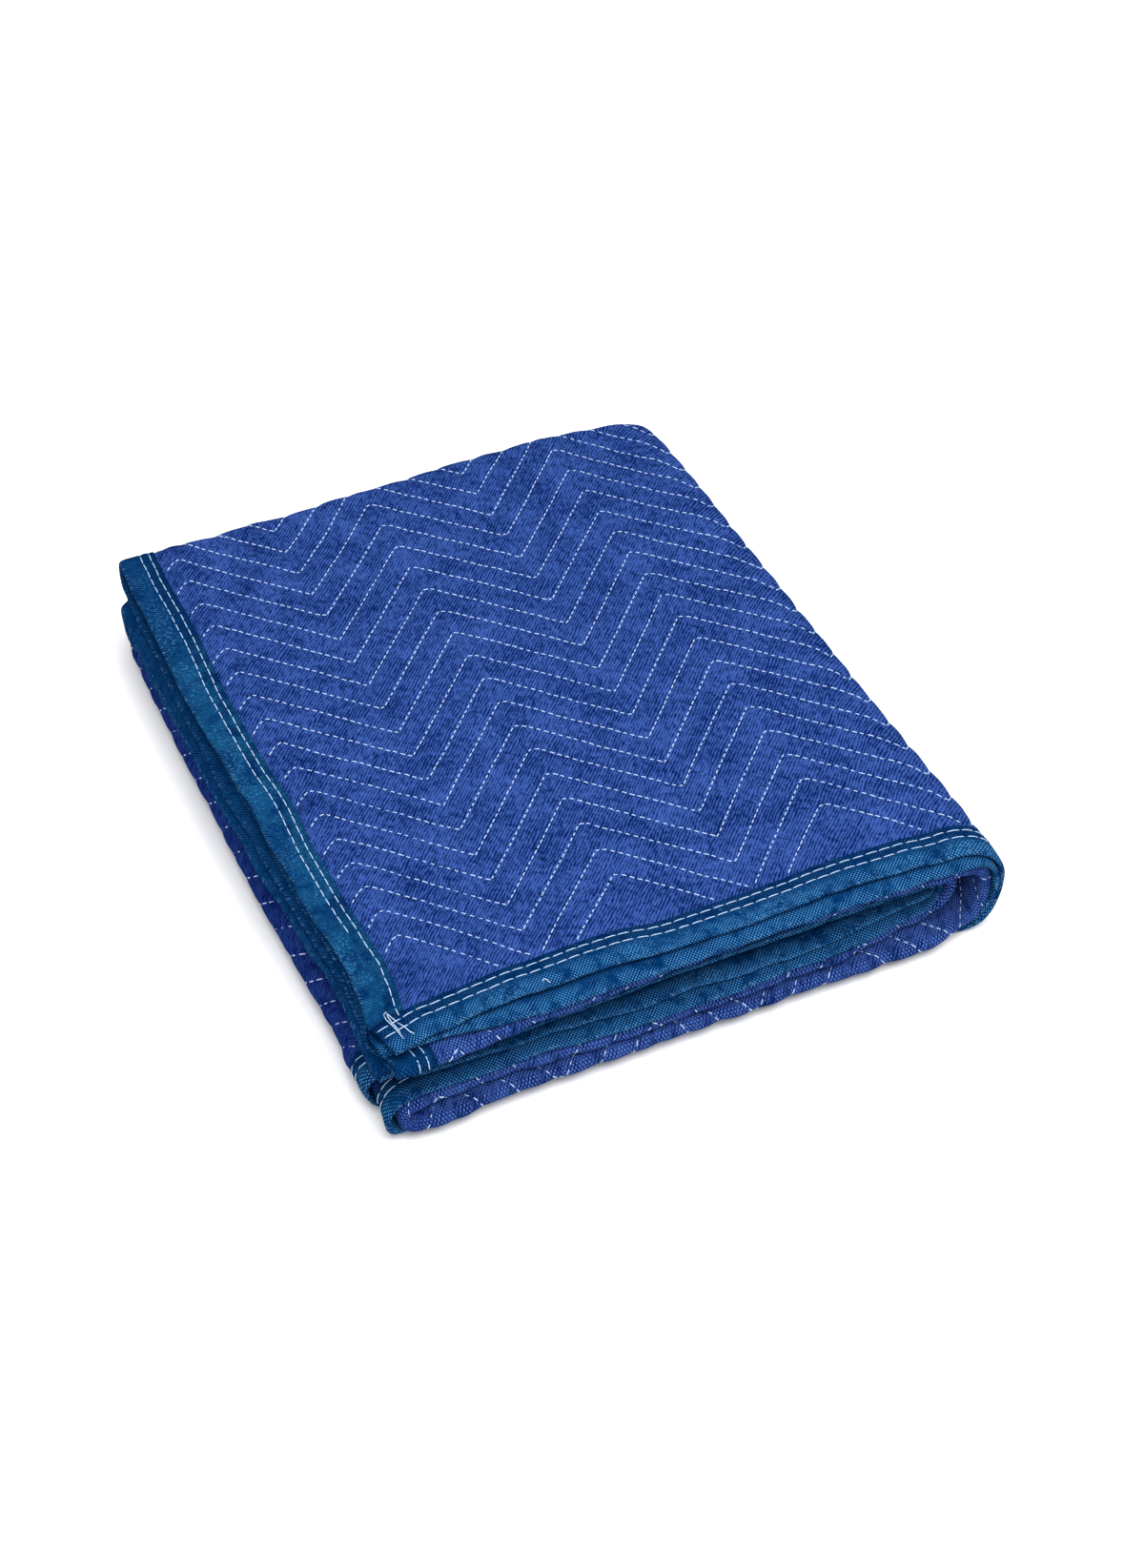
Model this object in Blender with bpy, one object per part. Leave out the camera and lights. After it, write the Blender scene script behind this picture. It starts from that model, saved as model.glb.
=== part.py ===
"""A quilted moving blanket, folded in four both ways into a flat packet.

The blanket is drawn flat first, in cloth coordinates: `across` runs along its width and
`along` runs along its length. One fold rule, used twice, lays the cloth up: first along its
length into a bundle of four leaves, then that bundle across its width into four storeys.
The pad is one closed sheet. Its binding is four strips of tape, each a closed channel
round the pad's edge. Metres, +Z up, origin under the middle of the packet, on the floor.
"""

import bisect
import math

import bmesh
import bpy
import numpy as np

MM = 0.001

# ---------------------------------------------------------------- driving dimensions
LEAF_PITCH = 4.95 * MM  # from one leaf of a bundle to the next
BUNDLE_PITCH = 20.3 * MM  # from one storey of the packet to the next
PAD_FACE = 2.0 * MM  # the pad's middle to the crest of its outer face
STITCH_FACE = 1.1 * MM  # the pad's middle to its outer face on a stitch line
PAD_BACK = 1.6 * MM  # the pad's middle to its inner face
PRESSED_HALF = 0.9 * MM  # half the pad's thickness where the tape presses it
TAPE_FACE = 1.95 * MM  # the pad's middle to the outside of the tape
TAPE_THICKNESS = 0.75 * MM
TAPE_WIDTH = 25.4 * MM  # how far the tape reaches in from the edge, on both faces
TAPE_BEND = 11.0 * MM  # from the edge to the line on which the tape can bend
ROUNDING = 1.2 * MM  # over which the tape rounds the edge
CLEARANCE = 0.3 * MM  # between pieces that touch
PRESS_RUN = 3.0 * MM  # over which the pad swells beside the tape

QUILT_ROW = 25.4 * MM  # between zigzag rows
QUILT_REACH = 76.2 * MM  # height of a zigzag, and half its repeat across

PACKET_CENTRE = (178.1 * MM, -213.5 * MM)  # of the packet, from the zigzag's first peak
FIRST_PEAK_ACROSS = 40.0 * MM  # cloth coordinate of the zigzag's first peak
FIRST_PEAK_ALONG = 457.0 * MM

# Where the bundle's runs start, turn and end across the packet: left end of the top
# storey, outer right turn, left turn, inner right turn, left end of the third storey.
ACROSS_STOPS = tuple(x * MM for x in (-40.0, 362.0, -30.0, 350.0, -47.0))
# The same along a bundle: front edge, outer back turn, front turn, inner back turn, edge.
ALONG_STOPS = tuple(y * MM for y in (-457.0, 35.0, -457.0, 31.0, -464.0))

# How each front edge and turn strays, in millimetres from the zigzag's first peak.
# storey: run of the bundle, x: place across the packet, edge_1: front edge of the upper
# leaf, fold: front of the middle fold, edge_2: front edge of the lower leaf, back: how far
# the back turns stand out.
FRONT_COLUMNS = ("storey", "x", "edge_1", "fold", "edge_2", "back")
FRONT_TABLE = (
    (0, -40, -461, -470, -456, 35),
    (0, -5, -456, -469, -459, 35),
    (0, 35, -452, -466, -463, 32),
    (0, 105, -452, -463, -466, 32),
    (0, 160, -457, -462, -466, 34),
    (0, 205, -458, -461, -466, 36),
    (0, 285, -455, -462, -467, 36),
    (0, 330, -458, -464, -468, 34),
    (0, 355, -461, -466, -469, 31),
    (1, 0.5, -464, -464, -465, 26),
    (1, 0.8, -467, -468, -465, 28),
    (2, 340, -456, -475, -458, 34),
    (2, 180, -452, -473, -459, 38),
    (2, 40, -454, -472, -460, 38),
    (2, -20, -446, -474, -466, 34),
    (3, 0.55, -438, -469, -468, 26),
    (4, -18, -452, -466, -464, 30),
    (4, 45, -456, -465, -464, 36),
    (4, 150, -461, -469, -470, 36),
    (4, 265, -463, -469, -469, 36),
    (4, 335, -456, -462, -461, 34),
    (5, 0.5, -451, -457, -453, 30),
    (6, 335, -450, -453, -452, 34),
    (6, 150, -450, -449, -454, 36),
    (6, 0, -452, -450, -456, 33),
    (6, -25, -451, -453, -453, 25),
    (6, -45, -450, -454, -452, 15),
)

# How the side ends and turns stray at one place along, in millimetres from the first peak.
# y: place along the packet, start: left end of the top storey, turn: left turn, end: left
# end of the third storey, right: the right turns.
SIDE_COLUMNS = ("y", "start", "turn", "end", "right")
SIDE_TABLE = (
    (-465, 2.0, 0.5, -1.0, 4.5),
    (-449, -1.0, 0.0, -0.5, 5.0),
    (-434, -4.5, -1.0, 0.0, 5.0),
    (-407, -0.5, -1.0, 2.0, 5.0),
    (-385, 1.5, 1.8, 3.5, 4.5),
    (-362, 0.5, 1.8, 4.0, 3.5),
    (-340, -1.0, 0.8, 1.0, 3.0),
    (-300, -1.5, 0.6, 1.5, 2.0),
    (-262, -1.8, -0.3, -1.5, 1.2),
    (-235, -0.5, -0.2, 0.5, 0.8),
    (-200, -2.2, 0.1, -1.0, 0.2),
    (-155, -1.5, 1.4, -1.0, -0.7),
    (-110, -1.5, 1.8, -1.0, -1.2),
    (-35, 2.0, 3.8, 0.0, -1.2),
    (5, 2.5, 6.0, 1.0, -1.8),
    (25, 4.0, 9.4, 4.0, -3.0),
    (50, 7.0, 11.0, 6.0, -6.0),
)
STRAY_REACH = 110.0 * MM  # how far in from an edge or turn the cloth follows it
STRAY_HOLD = 12.0 * MM  # within this of an edge or turn the cloth follows it wholly

# How far the left ends of the four leaves are drawn in, in millimetres, from their storey's
# nominal end: in order along the bundle, for the top storey and for the third.
TOP_ENDS = (0.0, -5.0, 2.0, 4.0)
THIRD_ENDS = (3.0, -4.0, 2.0, 3.0)

FLARE_FROM = -406.0 * MM  # in front of this the lower bound leaf hangs loose and flares out
FLARE_RUN = 40.0 * MM
FLARE_REACH = 90.0 * MM  # how far in from that leaf's front edge the flare goes
FLARE_START = 8.0 * MM  # at the left end of the top storey
FLARE_TURN = 6.0 * MM  # on the left turn, once clear of the upper bound leaf
FLARE_TURN_FROM = 0.85

SAG_FROM_X = -30.0 * MM  # left of this the upper storeys sag over the left turn
SAG_RADIUS = 19.6 * MM
SAG_MOST = 17.0 * MM
FRONT_SAG = 4.5 * MM  # the overhang of the front folds and edges
FRONT_SAG_FROM = -455.0 * MM
FRONT_SAG_RUN = 28.0 * MM
LOW_STOREY = 10.0 * MM
SAG_AT_FRONT = 0.35  # share of the full sag at the front of the packet
SAG_AT_BACK = 0.85
SWELL = 0.012  # share of the height by which the top rises and falls
SWELL_ACROSS = 9.0  # slow rise and fall: radians in each metre across, then along
SWELL_ALONG = 11.0
RIPPLE_ACROSS = 31.0  # quicker, slanting rise and fall, half as high
RIPPLE_ALONG = -17.0

# ---------------------------------------------------------------- mesh density
TURN_STEPS = {"outer": 8, "near": 6, "inner": 5}
BUNDLE_TURN_STEPS = {"outer": 6, "near": 5, "inner": 4}


def smooth(value):
    """Eases from 0 to 1 as value goes from 0 to 1."""
    t = np.clip(value, 0.0, 1.0)
    return t * t * (3.0 - 2.0 * t)


class QuarterFold:
    """A strip folded in half twice: four level runs joined by three round turns."""

    def __init__(self, stops, pitch):
        """Takes the strip's start, far outer turn, near turn, far inner turn and end."""
        start, outer, near, inner, end = stops
        self.pitch = pitch
        runs = (outer - start, outer - near, inner - near, inner - end)
        turns = (1.5 * math.pi * pitch, 0.5 * math.pi * pitch, 0.5 * math.pi * pitch)
        self.lengths = (runs[0], turns[0], runs[1], turns[1], runs[2], turns[2], runs[3])
        self.starts = tuple(sum(self.lengths[:i]) for i in range(8))
        self.total = self.starts[7]
        self.stops = stops

    def at(self, distance):
        """Returns place and level of the strip, and its normal, at each distance."""
        start, outer, near, inner, _ = self.stops
        pitch = self.pitch
        part = np.clip(np.searchsorted(self.starts, distance, side="right") - 1, 0, 6)
        local = distance - np.asarray(self.starts)[part]
        zero = np.zeros_like(distance)
        place, level, across, upward = zero.copy(), zero.copy(), zero.copy(), zero.copy()
        runs = (
            (0, start, 1.0, 1.5, 1.0),
            (2, outer, -1.0, -1.5, -1.0),
            (4, near, 1.0, -0.5, 1.0),
            (6, inner, -1.0, 0.5, -1.0),
        )
        for index, origin, heading, height, facing in runs:
            here = part == index
            place[here] = origin + heading * local[here]
            level[here] = height * pitch
            upward[here] = facing
        turns = (
            (1, outer, 0.0, 1.5, 0.5, -1.0, 1.0),
            (3, near, -1.0, 0.5, -0.5, -1.0, 1.0),
            (5, inner, 0.0, 0.5, -0.5, 1.0, -1.0),
        )
        for index, centre, height, radius, first, spin, side in turns:
            here = part == index
            angle = math.pi * first + spin * local[here] / (radius * pitch)
            place[here] = centre + radius * pitch * np.cos(angle)
            level[here] = height * pitch + radius * pitch * np.sin(angle)
            across[here] = side * np.cos(angle)
            upward[here] = side * np.sin(angle)
        return place, level, across, upward

    def stations(self, run_points, turn_steps):
        """Returns the distances at which a mesh of the strip has a line.

        run_points holds, for each of the four runs, its inner distances from the strip's
        start, and turn_steps the steps of the outer, near and inner turn.
        """
        found = []
        steps = (turn_steps["outer"], turn_steps["near"], turn_steps["inner"])
        for index in range(7):
            low, high = self.starts[index], self.starts[index + 1]
            if index % 2:
                count = steps[index // 2]
                found += [low + (high - low) * i / count for i in range(count)]
            else:
                found.append(low)
                found += [s for s in run_points[index // 2] if low < s < high]
        return sorted(set(found[1:]))


WIDTH_FOLD = QuarterFold(ACROSS_STOPS, BUNDLE_PITCH)
LENGTH_FOLD = QuarterFold(ALONG_STOPS, LEAF_PITCH)


def storey_distance(storey, x):
    """Returns the cloth coordinate across of a place on a run, or of a share of a turn."""
    first = WIDTH_FOLD.starts[storey]
    if storey % 2:
        return first + x * WIDTH_FOLD.lengths[storey]
    start, outer, near, inner, _ = ACROSS_STOPS
    origin = {0: start, 2: outer, 4: near, 6: inner}[storey]
    return first + abs(x * MM - origin)


def eased_rows(places, table, columns, name, at):
    """Reads a column of a table, in metres, eased between the places of its rows."""
    index = columns.index(name)
    values = np.array([row[index] for row in table]) * MM
    low = np.clip(np.searchsorted(places, at, side="right") - 1, 0, len(values) - 2)
    share = (at - places[low]) / (places[low + 1] - places[low])
    return values[low] + (values[low + 1] - values[low]) * smooth(share)


FRONT_PLACES = np.array([storey_distance(row[0], row[1]) for row in FRONT_TABLE])
SIDE_PLACES = np.array([row[0] for row in SIDE_TABLE]) * MM


def front(across, name):
    """Reads a column of the front table at each place across."""
    return eased_rows(FRONT_PLACES, FRONT_TABLE, FRONT_COLUMNS, name, across)


def side(y, name):
    """Reads a column of the side table at each place along the packet."""
    return eased_rows(SIDE_PLACES, SIDE_TABLE, SIDE_COLUMNS, name, y)


def stray_along(across, along):
    """Returns how far each point of the cloth is pulled forward or back by its edges."""
    starts = LENGTH_FOLD.starts
    front_1, outer, near, _, front_2 = ALONG_STOPS
    turn = LEAF_PITCH / 2
    back = front(across, "back") - outer
    pulls = (
        (starts[0], front(across, "edge_1") - front_1),
        (0.5 * (starts[1] + starts[2]), back),
        (0.5 * (starts[3] + starts[4]), front(across, "fold") + turn + PAD_FACE - near),
        (0.5 * (starts[5] + starts[6]), back),
        (starts[7], front(across, "edge_2") - front_2),
    )
    total = np.zeros_like(across)
    for place, pull in pulls:
        total += pull * smooth(1.0 - (np.abs(along - place) - STRAY_HOLD) / STRAY_REACH)
    return total


def near_turn(across, turn):
    """Returns 1 on a side turn, easing to 0 where the cloth no longer follows it."""
    away = np.maximum(WIDTH_FOLD.starts[turn] - across, across - WIDTH_FOLD.starts[turn + 1])
    return smooth(1.0 - away / STRAY_REACH)


def stray_across(across, along, y):
    """Returns how far each point is moved sideways by the uneven ends and turns."""
    leaf_middles = [0.5 * (LENGTH_FOLD.starts[i] + LENGTH_FOLD.starts[i + 1]) for i in (0, 2, 4, 6)]
    top = np.interp(along, leaf_middles, TOP_ENDS) * MM
    third = np.interp(along, leaf_middles, THIRD_ENDS) * MM
    near_start = smooth(1.0 - across / STRAY_REACH)
    near_end = smooth(1.0 - (WIDTH_FOLD.total - across) / STRAY_REACH)
    left = (top + side(y, "start")) * near_start + (third + side(y, "end")) * near_end
    left = left + side(y, "turn") * near_turn(across, 3)
    forward = (FLARE_FROM - y) / FLARE_RUN
    loose = smooth(forward) * smooth(1.0 - (LENGTH_FOLD.total - along) / FLARE_REACH)
    left = left - loose * FLARE_START * near_start
    left = left - loose * smooth(forward - FLARE_TURN_FROM) * FLARE_TURN * near_turn(across, 3)
    return left + side(y, "right") * (near_turn(across, 1) + near_turn(across, 5))


def settle(x, y, z, across):
    """Lets the stacked cloth sag at its edges and swell a little, with no layer crossing."""
    upper = (across < WIDTH_FOLD.starts[1]) | (across > WIDTH_FOLD.starts[6])
    reach = np.clip(SAG_FROM_X - x, 0.0, SAG_MOST)
    sag = SAG_RADIUS - np.sqrt(SAG_RADIUS**2 - reach**2)
    backward = smooth((y - ALONG_STOPS[0]) / (ALONG_STOPS[1] - ALONG_STOPS[0]))
    z = z - upper * sag * (SAG_AT_FRONT + (SAG_AT_BACK - SAG_AT_FRONT) * backward)
    share = np.clip(z / LOW_STOREY, 0.0, 1.0)
    z = z - FRONT_SAG * smooth((FRONT_SAG_FROM - y) / FRONT_SAG_RUN) * share
    swell = np.sin(SWELL_ACROSS * x + 1.0) * np.sin(SWELL_ALONG * y + 0.6)
    swell = swell + 0.5 * np.sin(RIPPLE_ACROSS * x + RIPPLE_ALONG * y)
    return x, y, z * (1.0 + SWELL * swell)


def folded(across, along, offset):
    """Takes points of the flat cloth to their places in the packet.

    across and along are cloth coordinates, and offset is the distance from the middle of
    the cloth towards its outer face.
    """
    across, along, offset = (np.asarray(v, float) for v in (across, along, offset))
    y, level, out_y, out_level = LENGTH_FOLD.at(along)
    y = y + stray_along(across, along) + offset * out_y
    level = level + offset * out_level
    x, z, out_x, out_z = WIDTH_FOLD.at(across)
    x = x + level * out_x
    z = z + level * out_z + 1.5 * BUNDLE_PITCH + 1.5 * LEAF_PITCH + PAD_FACE
    x = x + stray_across(across, along, y)
    x, y, z = settle(x, y, z, across)
    return np.stack([x - PACKET_CENTRE[0], y - PACKET_CENTRE[1], z], axis=1)


# ---------------------------------------------------------------- lines of the mesh
EDGE_GAP = TAPE_THICKNESS + CLEARANCE
UNDER_TAPE = (EDGE_GAP, TAPE_BEND, TAPE_WIDTH + CLEARANCE)


def across_lines():
    """Returns the cloth coordinates across at which the pad's mesh has a line."""
    starts, total = WIDTH_FOLD.starts, WIDTH_FOLD.total
    half = QUILT_REACH / 2
    top = [FIRST_PEAK_ACROSS + half * i for i in range(20)]
    pressed = list(UNDER_TAPE[1:]) + [TAPE_WIDTH + CLEARANCE + PRESS_RUN]
    top = pressed + [s for s in top if s < starts[1] - 6 * MM]
    bottom = [starts[2] + share * (starts[3] - starts[2]) for share in (0.18, 0.36, 0.54, 0.72, 0.88)]
    third = [starts[4] + share * (starts[5] - starts[4]) for share in (0.15, 0.4, 0.65, 0.85)]
    last = [starts[6] + share * (starts[7] - starts[6]) for share in (0.2, 0.5, 0.75)]
    last += [total - inward for inward in pressed]
    lines = WIDTH_FOLD.stations((top, bottom, third, last), TURN_STEPS)
    lines = [s for s in lines if EDGE_GAP < s < total - EDGE_GAP]
    return [EDGE_GAP] + lines + [total - EDGE_GAP]


def along_lines():
    """Returns the cloth coordinates along at which the pad's mesh has a line."""
    starts, total = LENGTH_FOLD.starts, LENGTH_FOLD.total
    pressed = list(UNDER_TAPE) + [TAPE_WIDTH + CLEARANCE + PRESS_RUN]
    first = pressed + [90 * MM, 190 * MM, 300 * MM, 400 * MM]
    near_fold = (12 * MM, 28 * MM)
    second = [starts[2] + 0.5 * (starts[3] - starts[2])] + [starts[3] - s for s in near_fold]
    third = [starts[4] + 0.5 * (starts[5] - starts[4])] + [starts[4] + s for s in near_fold]
    fourth = [total - s for s in pressed] + [total - 90 * MM, total - 250 * MM]
    lines = LENGTH_FOLD.stations((first, second, third, fourth), BUNDLE_TURN_STEPS)
    lines = [s for s in lines if EDGE_GAP < s < total - EDGE_GAP]
    return [EDGE_GAP] + lines + [total - EDGE_GAP]


# ---------------------------------------------------------------- quilting
def quilt_phase(across, along):
    """Counts zigzag rows: a whole number on a stitch line, a half on a crest."""
    share = np.abs((across - FIRST_PEAK_ACROSS) / QUILT_REACH % 2.0)
    zigzag = np.where(share > 1.0, 2.0 - share, share)
    return (along - FIRST_PEAK_ALONG + QUILT_REACH * zigzag) / QUILT_ROW


def face_offset(across, along):
    """Returns the pad's outer face above its middle: puffed between its stitch lines.

    The puffs are modelled on the top storey and its outer turn. The rest, which lies
    against itself or on the floor, is level at their crests.
    """
    crest = np.sqrt(np.abs(np.sin(math.pi * quilt_phase(across, along))))
    on_top = (across < WIDTH_FOLD.starts[2]) & (along < LENGTH_FOLD.starts[1])
    puffed = STITCH_FACE + (PAD_FACE - STITCH_FACE) * np.where(on_top, crest, 1.0)
    across_in = np.minimum(across, WIDTH_FOLD.total - across)
    along_in = np.minimum(along, LENGTH_FOLD.total - along)
    inward = np.minimum(across_in, along_in) - TAPE_WIDTH - CLEARANCE
    swell = np.clip(inward / PRESS_RUN, 0.0, 1.0)
    return PRESSED_HALF + (puffed - PRESSED_HALF) * swell


def back_offset(across, along):
    """Returns the pad's inner face below its middle."""
    across_in = np.minimum(across, WIDTH_FOLD.total - across)
    along_in = np.minimum(along, LENGTH_FOLD.total - along)
    inward = np.minimum(across_in, along_in) - TAPE_WIDTH - CLEARANCE
    return -(PRESSED_HALF + (PAD_BACK - PRESSED_HALF) * np.clip(inward / PRESS_RUN, 0.0, 1.0))


def cut_zigzags(mesh, low, high):
    """Cuts the flat outer face along its stitch lines and crests inside a window."""
    first = math.floor((low[0] - FIRST_PEAK_ACROSS) / QUILT_REACH)
    last = math.ceil((high[0] - FIRST_PEAK_ACROSS) / QUILT_REACH)
    for band in range(first, last):
        left = FIRST_PEAK_ACROSS + band * QUILT_REACH
        lean = 1.0 if band % 2 == 0 else -1.0
        foot = left if band % 2 == 0 else left + QUILT_REACH
        rows = range(-60, 60)
        for half_row in rows:
            along = FIRST_PEAK_ALONG + half_row * QUILT_ROW / 2
            inside = [
                face
                for face in mesh.faces
                if max(left, low[0]) < face.calc_center_median().x < min(left + QUILT_REACH, high[0])
                and low[1] < face.calc_center_median().y < high[1]
            ]
            reach = [v.co.y + lean * (v.co.x - foot) - along for face in inside for v in face.verts]
            if not reach or min(reach) > -1e-6 or max(reach) < 1e-6:
                continue
            cut = [face for face in inside if spans(face, lean, foot, along)]
            edges = {edge for face in cut for edge in face.edges}
            verts = {vert for face in cut for vert in face.verts}
            bmesh.ops.bisect_plane(
                mesh,
                geom=cut + list(edges) + list(verts),
                dist=1e-6,
                plane_co=(foot, along, 0.0),
                plane_no=(lean, 1.0, 0.0),
            )


def spans(face, lean, foot, along):
    """Tells whether a slanting line passes through a flat face."""
    sides = [vert.co.y + lean * (vert.co.x - foot) - along for vert in face.verts]
    return min(sides) < -1e-6 and max(sides) > 1e-6


# ---------------------------------------------------------------- bodies
def halved(faces, flat):
    """Splits each face of four corners, always on the same slant of the flat cloth.

    The pad and the tape over it then bend on the same lines, and stay apart.
    """
    split = []
    for face in faces:
        if len(face) == 3:
            split.append(face)
            continue
        reach = [flat[corner][0] + flat[corner][1] for corner in face]
        first = reach.index(min(reach))
        a, b, c, d = face[first:] + face[:first]
        split += [(a, b, c), (a, c, d)]
    return split


def finished(name, points, faces, material):
    """Makes an object from points and triangles, facing out."""
    data = bpy.data.meshes.new(name)
    data.from_pydata([tuple(p) for p in points], [], faces)
    data.materials.append(material)
    mesh = bmesh.new()
    mesh.from_mesh(data)
    bmesh.ops.recalc_face_normals(mesh, faces=mesh.faces)
    if mesh.calc_volume(signed=True) < 0.0:
        bmesh.ops.reverse_faces(mesh, faces=mesh.faces)
    mesh.to_mesh(data)
    mesh.free()
    data.shade_smooth()
    data.set_sharp_from_angle(angle=math.radians(40.0))
    piece = bpy.data.objects.new(name, data)
    bpy.context.scene.collection.objects.link(piece)
    return piece


def flat_grid(across, along):
    """Returns a flat bmesh of the cloth with a line at each coordinate, and its rows of points."""
    mesh = bmesh.new()
    rows = [[mesh.verts.new((u, v, 0.0)) for u in across] for v in along]
    for low, high in zip(rows, rows[1:]):
        for i in range(len(across) - 1):
            mesh.faces.new((low[i], low[i + 1], high[i + 1], high[i]))
    return mesh, rows


def make_pad(material):
    """Builds the quilted pad: outer face, inner face and the rim between them."""
    across, along = across_lines(), along_lines()
    outer, rows = flat_grid(across, along)
    inner_edge = TAPE_WIDTH + CLEARANCE + PRESS_RUN
    right_end = WIDTH_FOLD.starts[2]
    back_end = LENGTH_FOLD.starts[1]
    cut_zigzags(outer, (inner_edge, inner_edge), (right_end, back_end))
    bmesh.ops.triangulate(outer, faces=[face for face in outer.faces if len(face.verts) > 4])
    outer.verts.index_update()
    flat = np.array([vert.co for vert in outer.verts])
    points = list(folded(flat[:, 0], flat[:, 1], face_offset(flat[:, 0], flat[:, 1])))
    faces = [tuple(vert.index for vert in face.verts) for face in outer.faces]
    corner = [[vert.index for vert in row] for row in rows]
    outer.free()

    grid_u, grid_v = np.meshgrid(across, along)
    grid_u, grid_v = grid_u.ravel(), grid_v.ravel()
    first = len(points)
    points += list(folded(grid_u, grid_v, back_offset(grid_u, grid_v)))
    flat = np.concatenate([flat[:, :2], np.stack([grid_u, grid_v], axis=1)])
    wide, deep = len(across), len(along)
    for j in range(deep - 1):
        for i in range(wide - 1):
            a = first + j * wide + i
            faces.append((a, a + wide, a + wide + 1, a + 1))
    rim = [(i, 0) for i in range(wide)]
    rim += [(wide - 1, j) for j in range(1, deep)]
    rim += [(i, deep - 1) for i in range(wide - 2, -1, -1)]
    rim += [(0, j) for j in range(deep - 2, 0, -1)]
    for (i, j), (k, m) in zip(rim, rim[1:] + rim[:1]):
        faces.append((corner[j][i], first + j * wide + i, first + m * wide + k, corner[m][k]))
    return finished("quilted_pad", points, halved(faces, flat), material)


TAPE_FACES = (
    (TAPE_WIDTH, 1.0),
    (TAPE_BEND, 1.0),
    (ROUNDING, 0.92),
    (0.0, 0.0),
    (ROUNDING, -0.92),
    (TAPE_BEND, -1.0),
    (TAPE_WIDTH, -1.0),
)


def tape_section():
    """Returns the tape's section: distance in from the edge, and height above the middle."""
    outside = [(inward, share * TAPE_FACE) for inward, share in TAPE_FACES]
    within = TAPE_FACE - TAPE_THICKNESS
    inside = []
    for inward, share in reversed(TAPE_FACES):
        height = within * (0.0 if share == 0.0 else math.copysign(1.0, share))
        inside.append((TAPE_THICKNESS if inward <= ROUNDING else inward, height))
    return outside + inside


def make_tape(name, lines, place, material):
    """Sweeps the tape's section along an edge of the flat cloth and folds it up.

    place(line, inward) gives the cloth coordinates of a point of the section.
    """
    section = tape_section()
    across, along, offset = [], [], []
    for line in lines:
        for inward, height in section:
            u, v = place(line, inward)
            across.append(u)
            along.append(v)
            offset.append(height)
    points = folded(across, along, offset)
    size = len(section)
    faces = []
    for j in range(len(lines) - 1):
        for i in range(size):
            k = (i + 1) % size
            faces.append((j * size + i, j * size + k, (j + 1) * size + k, (j + 1) * size + i))
    last = (len(lines) - 1) * size
    for end in (0, last):
        for i in range(size // 2 - 1):
            faces.append((end + i, end + i + 1, end + size - 2 - i, end + size - 1 - i))
    flat = np.stack([across, along], axis=1)
    return finished(name, points, halved(faces, flat), material)


def make_binding(material):
    """Builds the four strips of binding tape."""
    wide, deep = WIDTH_FOLD.total, LENGTH_FOLD.total
    across = [0.0] + across_lines()[1:-1] + [wide]
    side_start = TAPE_WIDTH + CLEARANCE
    along = along_lines()
    first = bisect.bisect_left(along, side_start - 1e-9)
    last = bisect.bisect_right(along, deep - side_start + 1e-9)
    side = along[first:last]
    return [
        make_tape("binding_front", across, lambda line, inward: (line, inward), material),
        make_tape("binding_second", across, lambda line, inward: (line, deep - inward), material),
        make_tape("binding_left", side, lambda line, inward: (inward, line), material),
        make_tape("binding_inner_end", side, lambda line, inward: (wide - inward, line), material),
    ]


def cloth_material(name, colour, roughness):
    """Returns a plain dyed-cloth material."""
    material = bpy.data.materials.new(name)
    material.use_nodes = True
    shader = material.node_tree.nodes["Principled BSDF"]
    shader.inputs["Base Color"].default_value = (*colour, 1.0)
    shader.inputs["Roughness"].default_value = roughness
    shader.inputs["Metallic"].default_value = 0.0
    return material


def main():
    """Clears the scene and builds the blanket."""
    for existing in list(bpy.data.objects):
        bpy.data.objects.remove(existing)
    make_pad(cloth_material("royal_blue_cloth", (0.035, 0.060, 0.400), 0.9))
    make_binding(cloth_material("teal_blue_tape", (0.005, 0.090, 0.220), 0.85))


main()
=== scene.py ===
"""A quilted moving blanket, folded in four both ways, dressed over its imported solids.

The cloth is drawn flat and laid up by one fold rule used twice, as its solids are. On top
of that come the quilting's puffs and puckers, the bound edges with their two rows of
stitches, the thread itself, the weave, a pale floor, soft light and the camera.
Metres, +Z up. Cloth coordinates: `across` runs along its width, `along` along its length.
"""

from __future__ import annotations

import logging
import math
from dataclasses import dataclass, field
from enum import Enum, IntEnum
from typing import Callable

import bmesh
import bpy
import numpy as np
from mathutils import Matrix, Vector

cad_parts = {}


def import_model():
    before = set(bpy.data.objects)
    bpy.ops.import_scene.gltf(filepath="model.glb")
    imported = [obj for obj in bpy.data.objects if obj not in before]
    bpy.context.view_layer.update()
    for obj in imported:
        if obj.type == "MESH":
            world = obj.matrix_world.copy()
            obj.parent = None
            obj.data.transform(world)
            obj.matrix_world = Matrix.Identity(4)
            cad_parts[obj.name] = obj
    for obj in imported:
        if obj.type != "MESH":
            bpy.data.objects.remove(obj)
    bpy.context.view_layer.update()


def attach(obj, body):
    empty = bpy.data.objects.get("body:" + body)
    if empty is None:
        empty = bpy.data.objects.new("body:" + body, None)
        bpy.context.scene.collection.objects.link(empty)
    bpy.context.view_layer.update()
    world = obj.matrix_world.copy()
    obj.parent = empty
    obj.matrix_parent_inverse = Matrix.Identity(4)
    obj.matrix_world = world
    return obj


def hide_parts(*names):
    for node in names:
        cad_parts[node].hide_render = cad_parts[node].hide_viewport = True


MM = 0.001
MIDDLE = (178.1 * MM, -213.5 * MM)  # the packet's middle, from the zigzag's first peak
OUTER_LEVEL = 1.5  # level of a fold's outermost leaves, in pitches from its middle
SCATTER = (127.1, 311.7, 74.7, 43758.5453)  # steps and scale that scatter a lattice's values
LOG = logging.getLogger("moving_blanket")
Array = np.ndarray
Colour = tuple[float, float, float]


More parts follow.
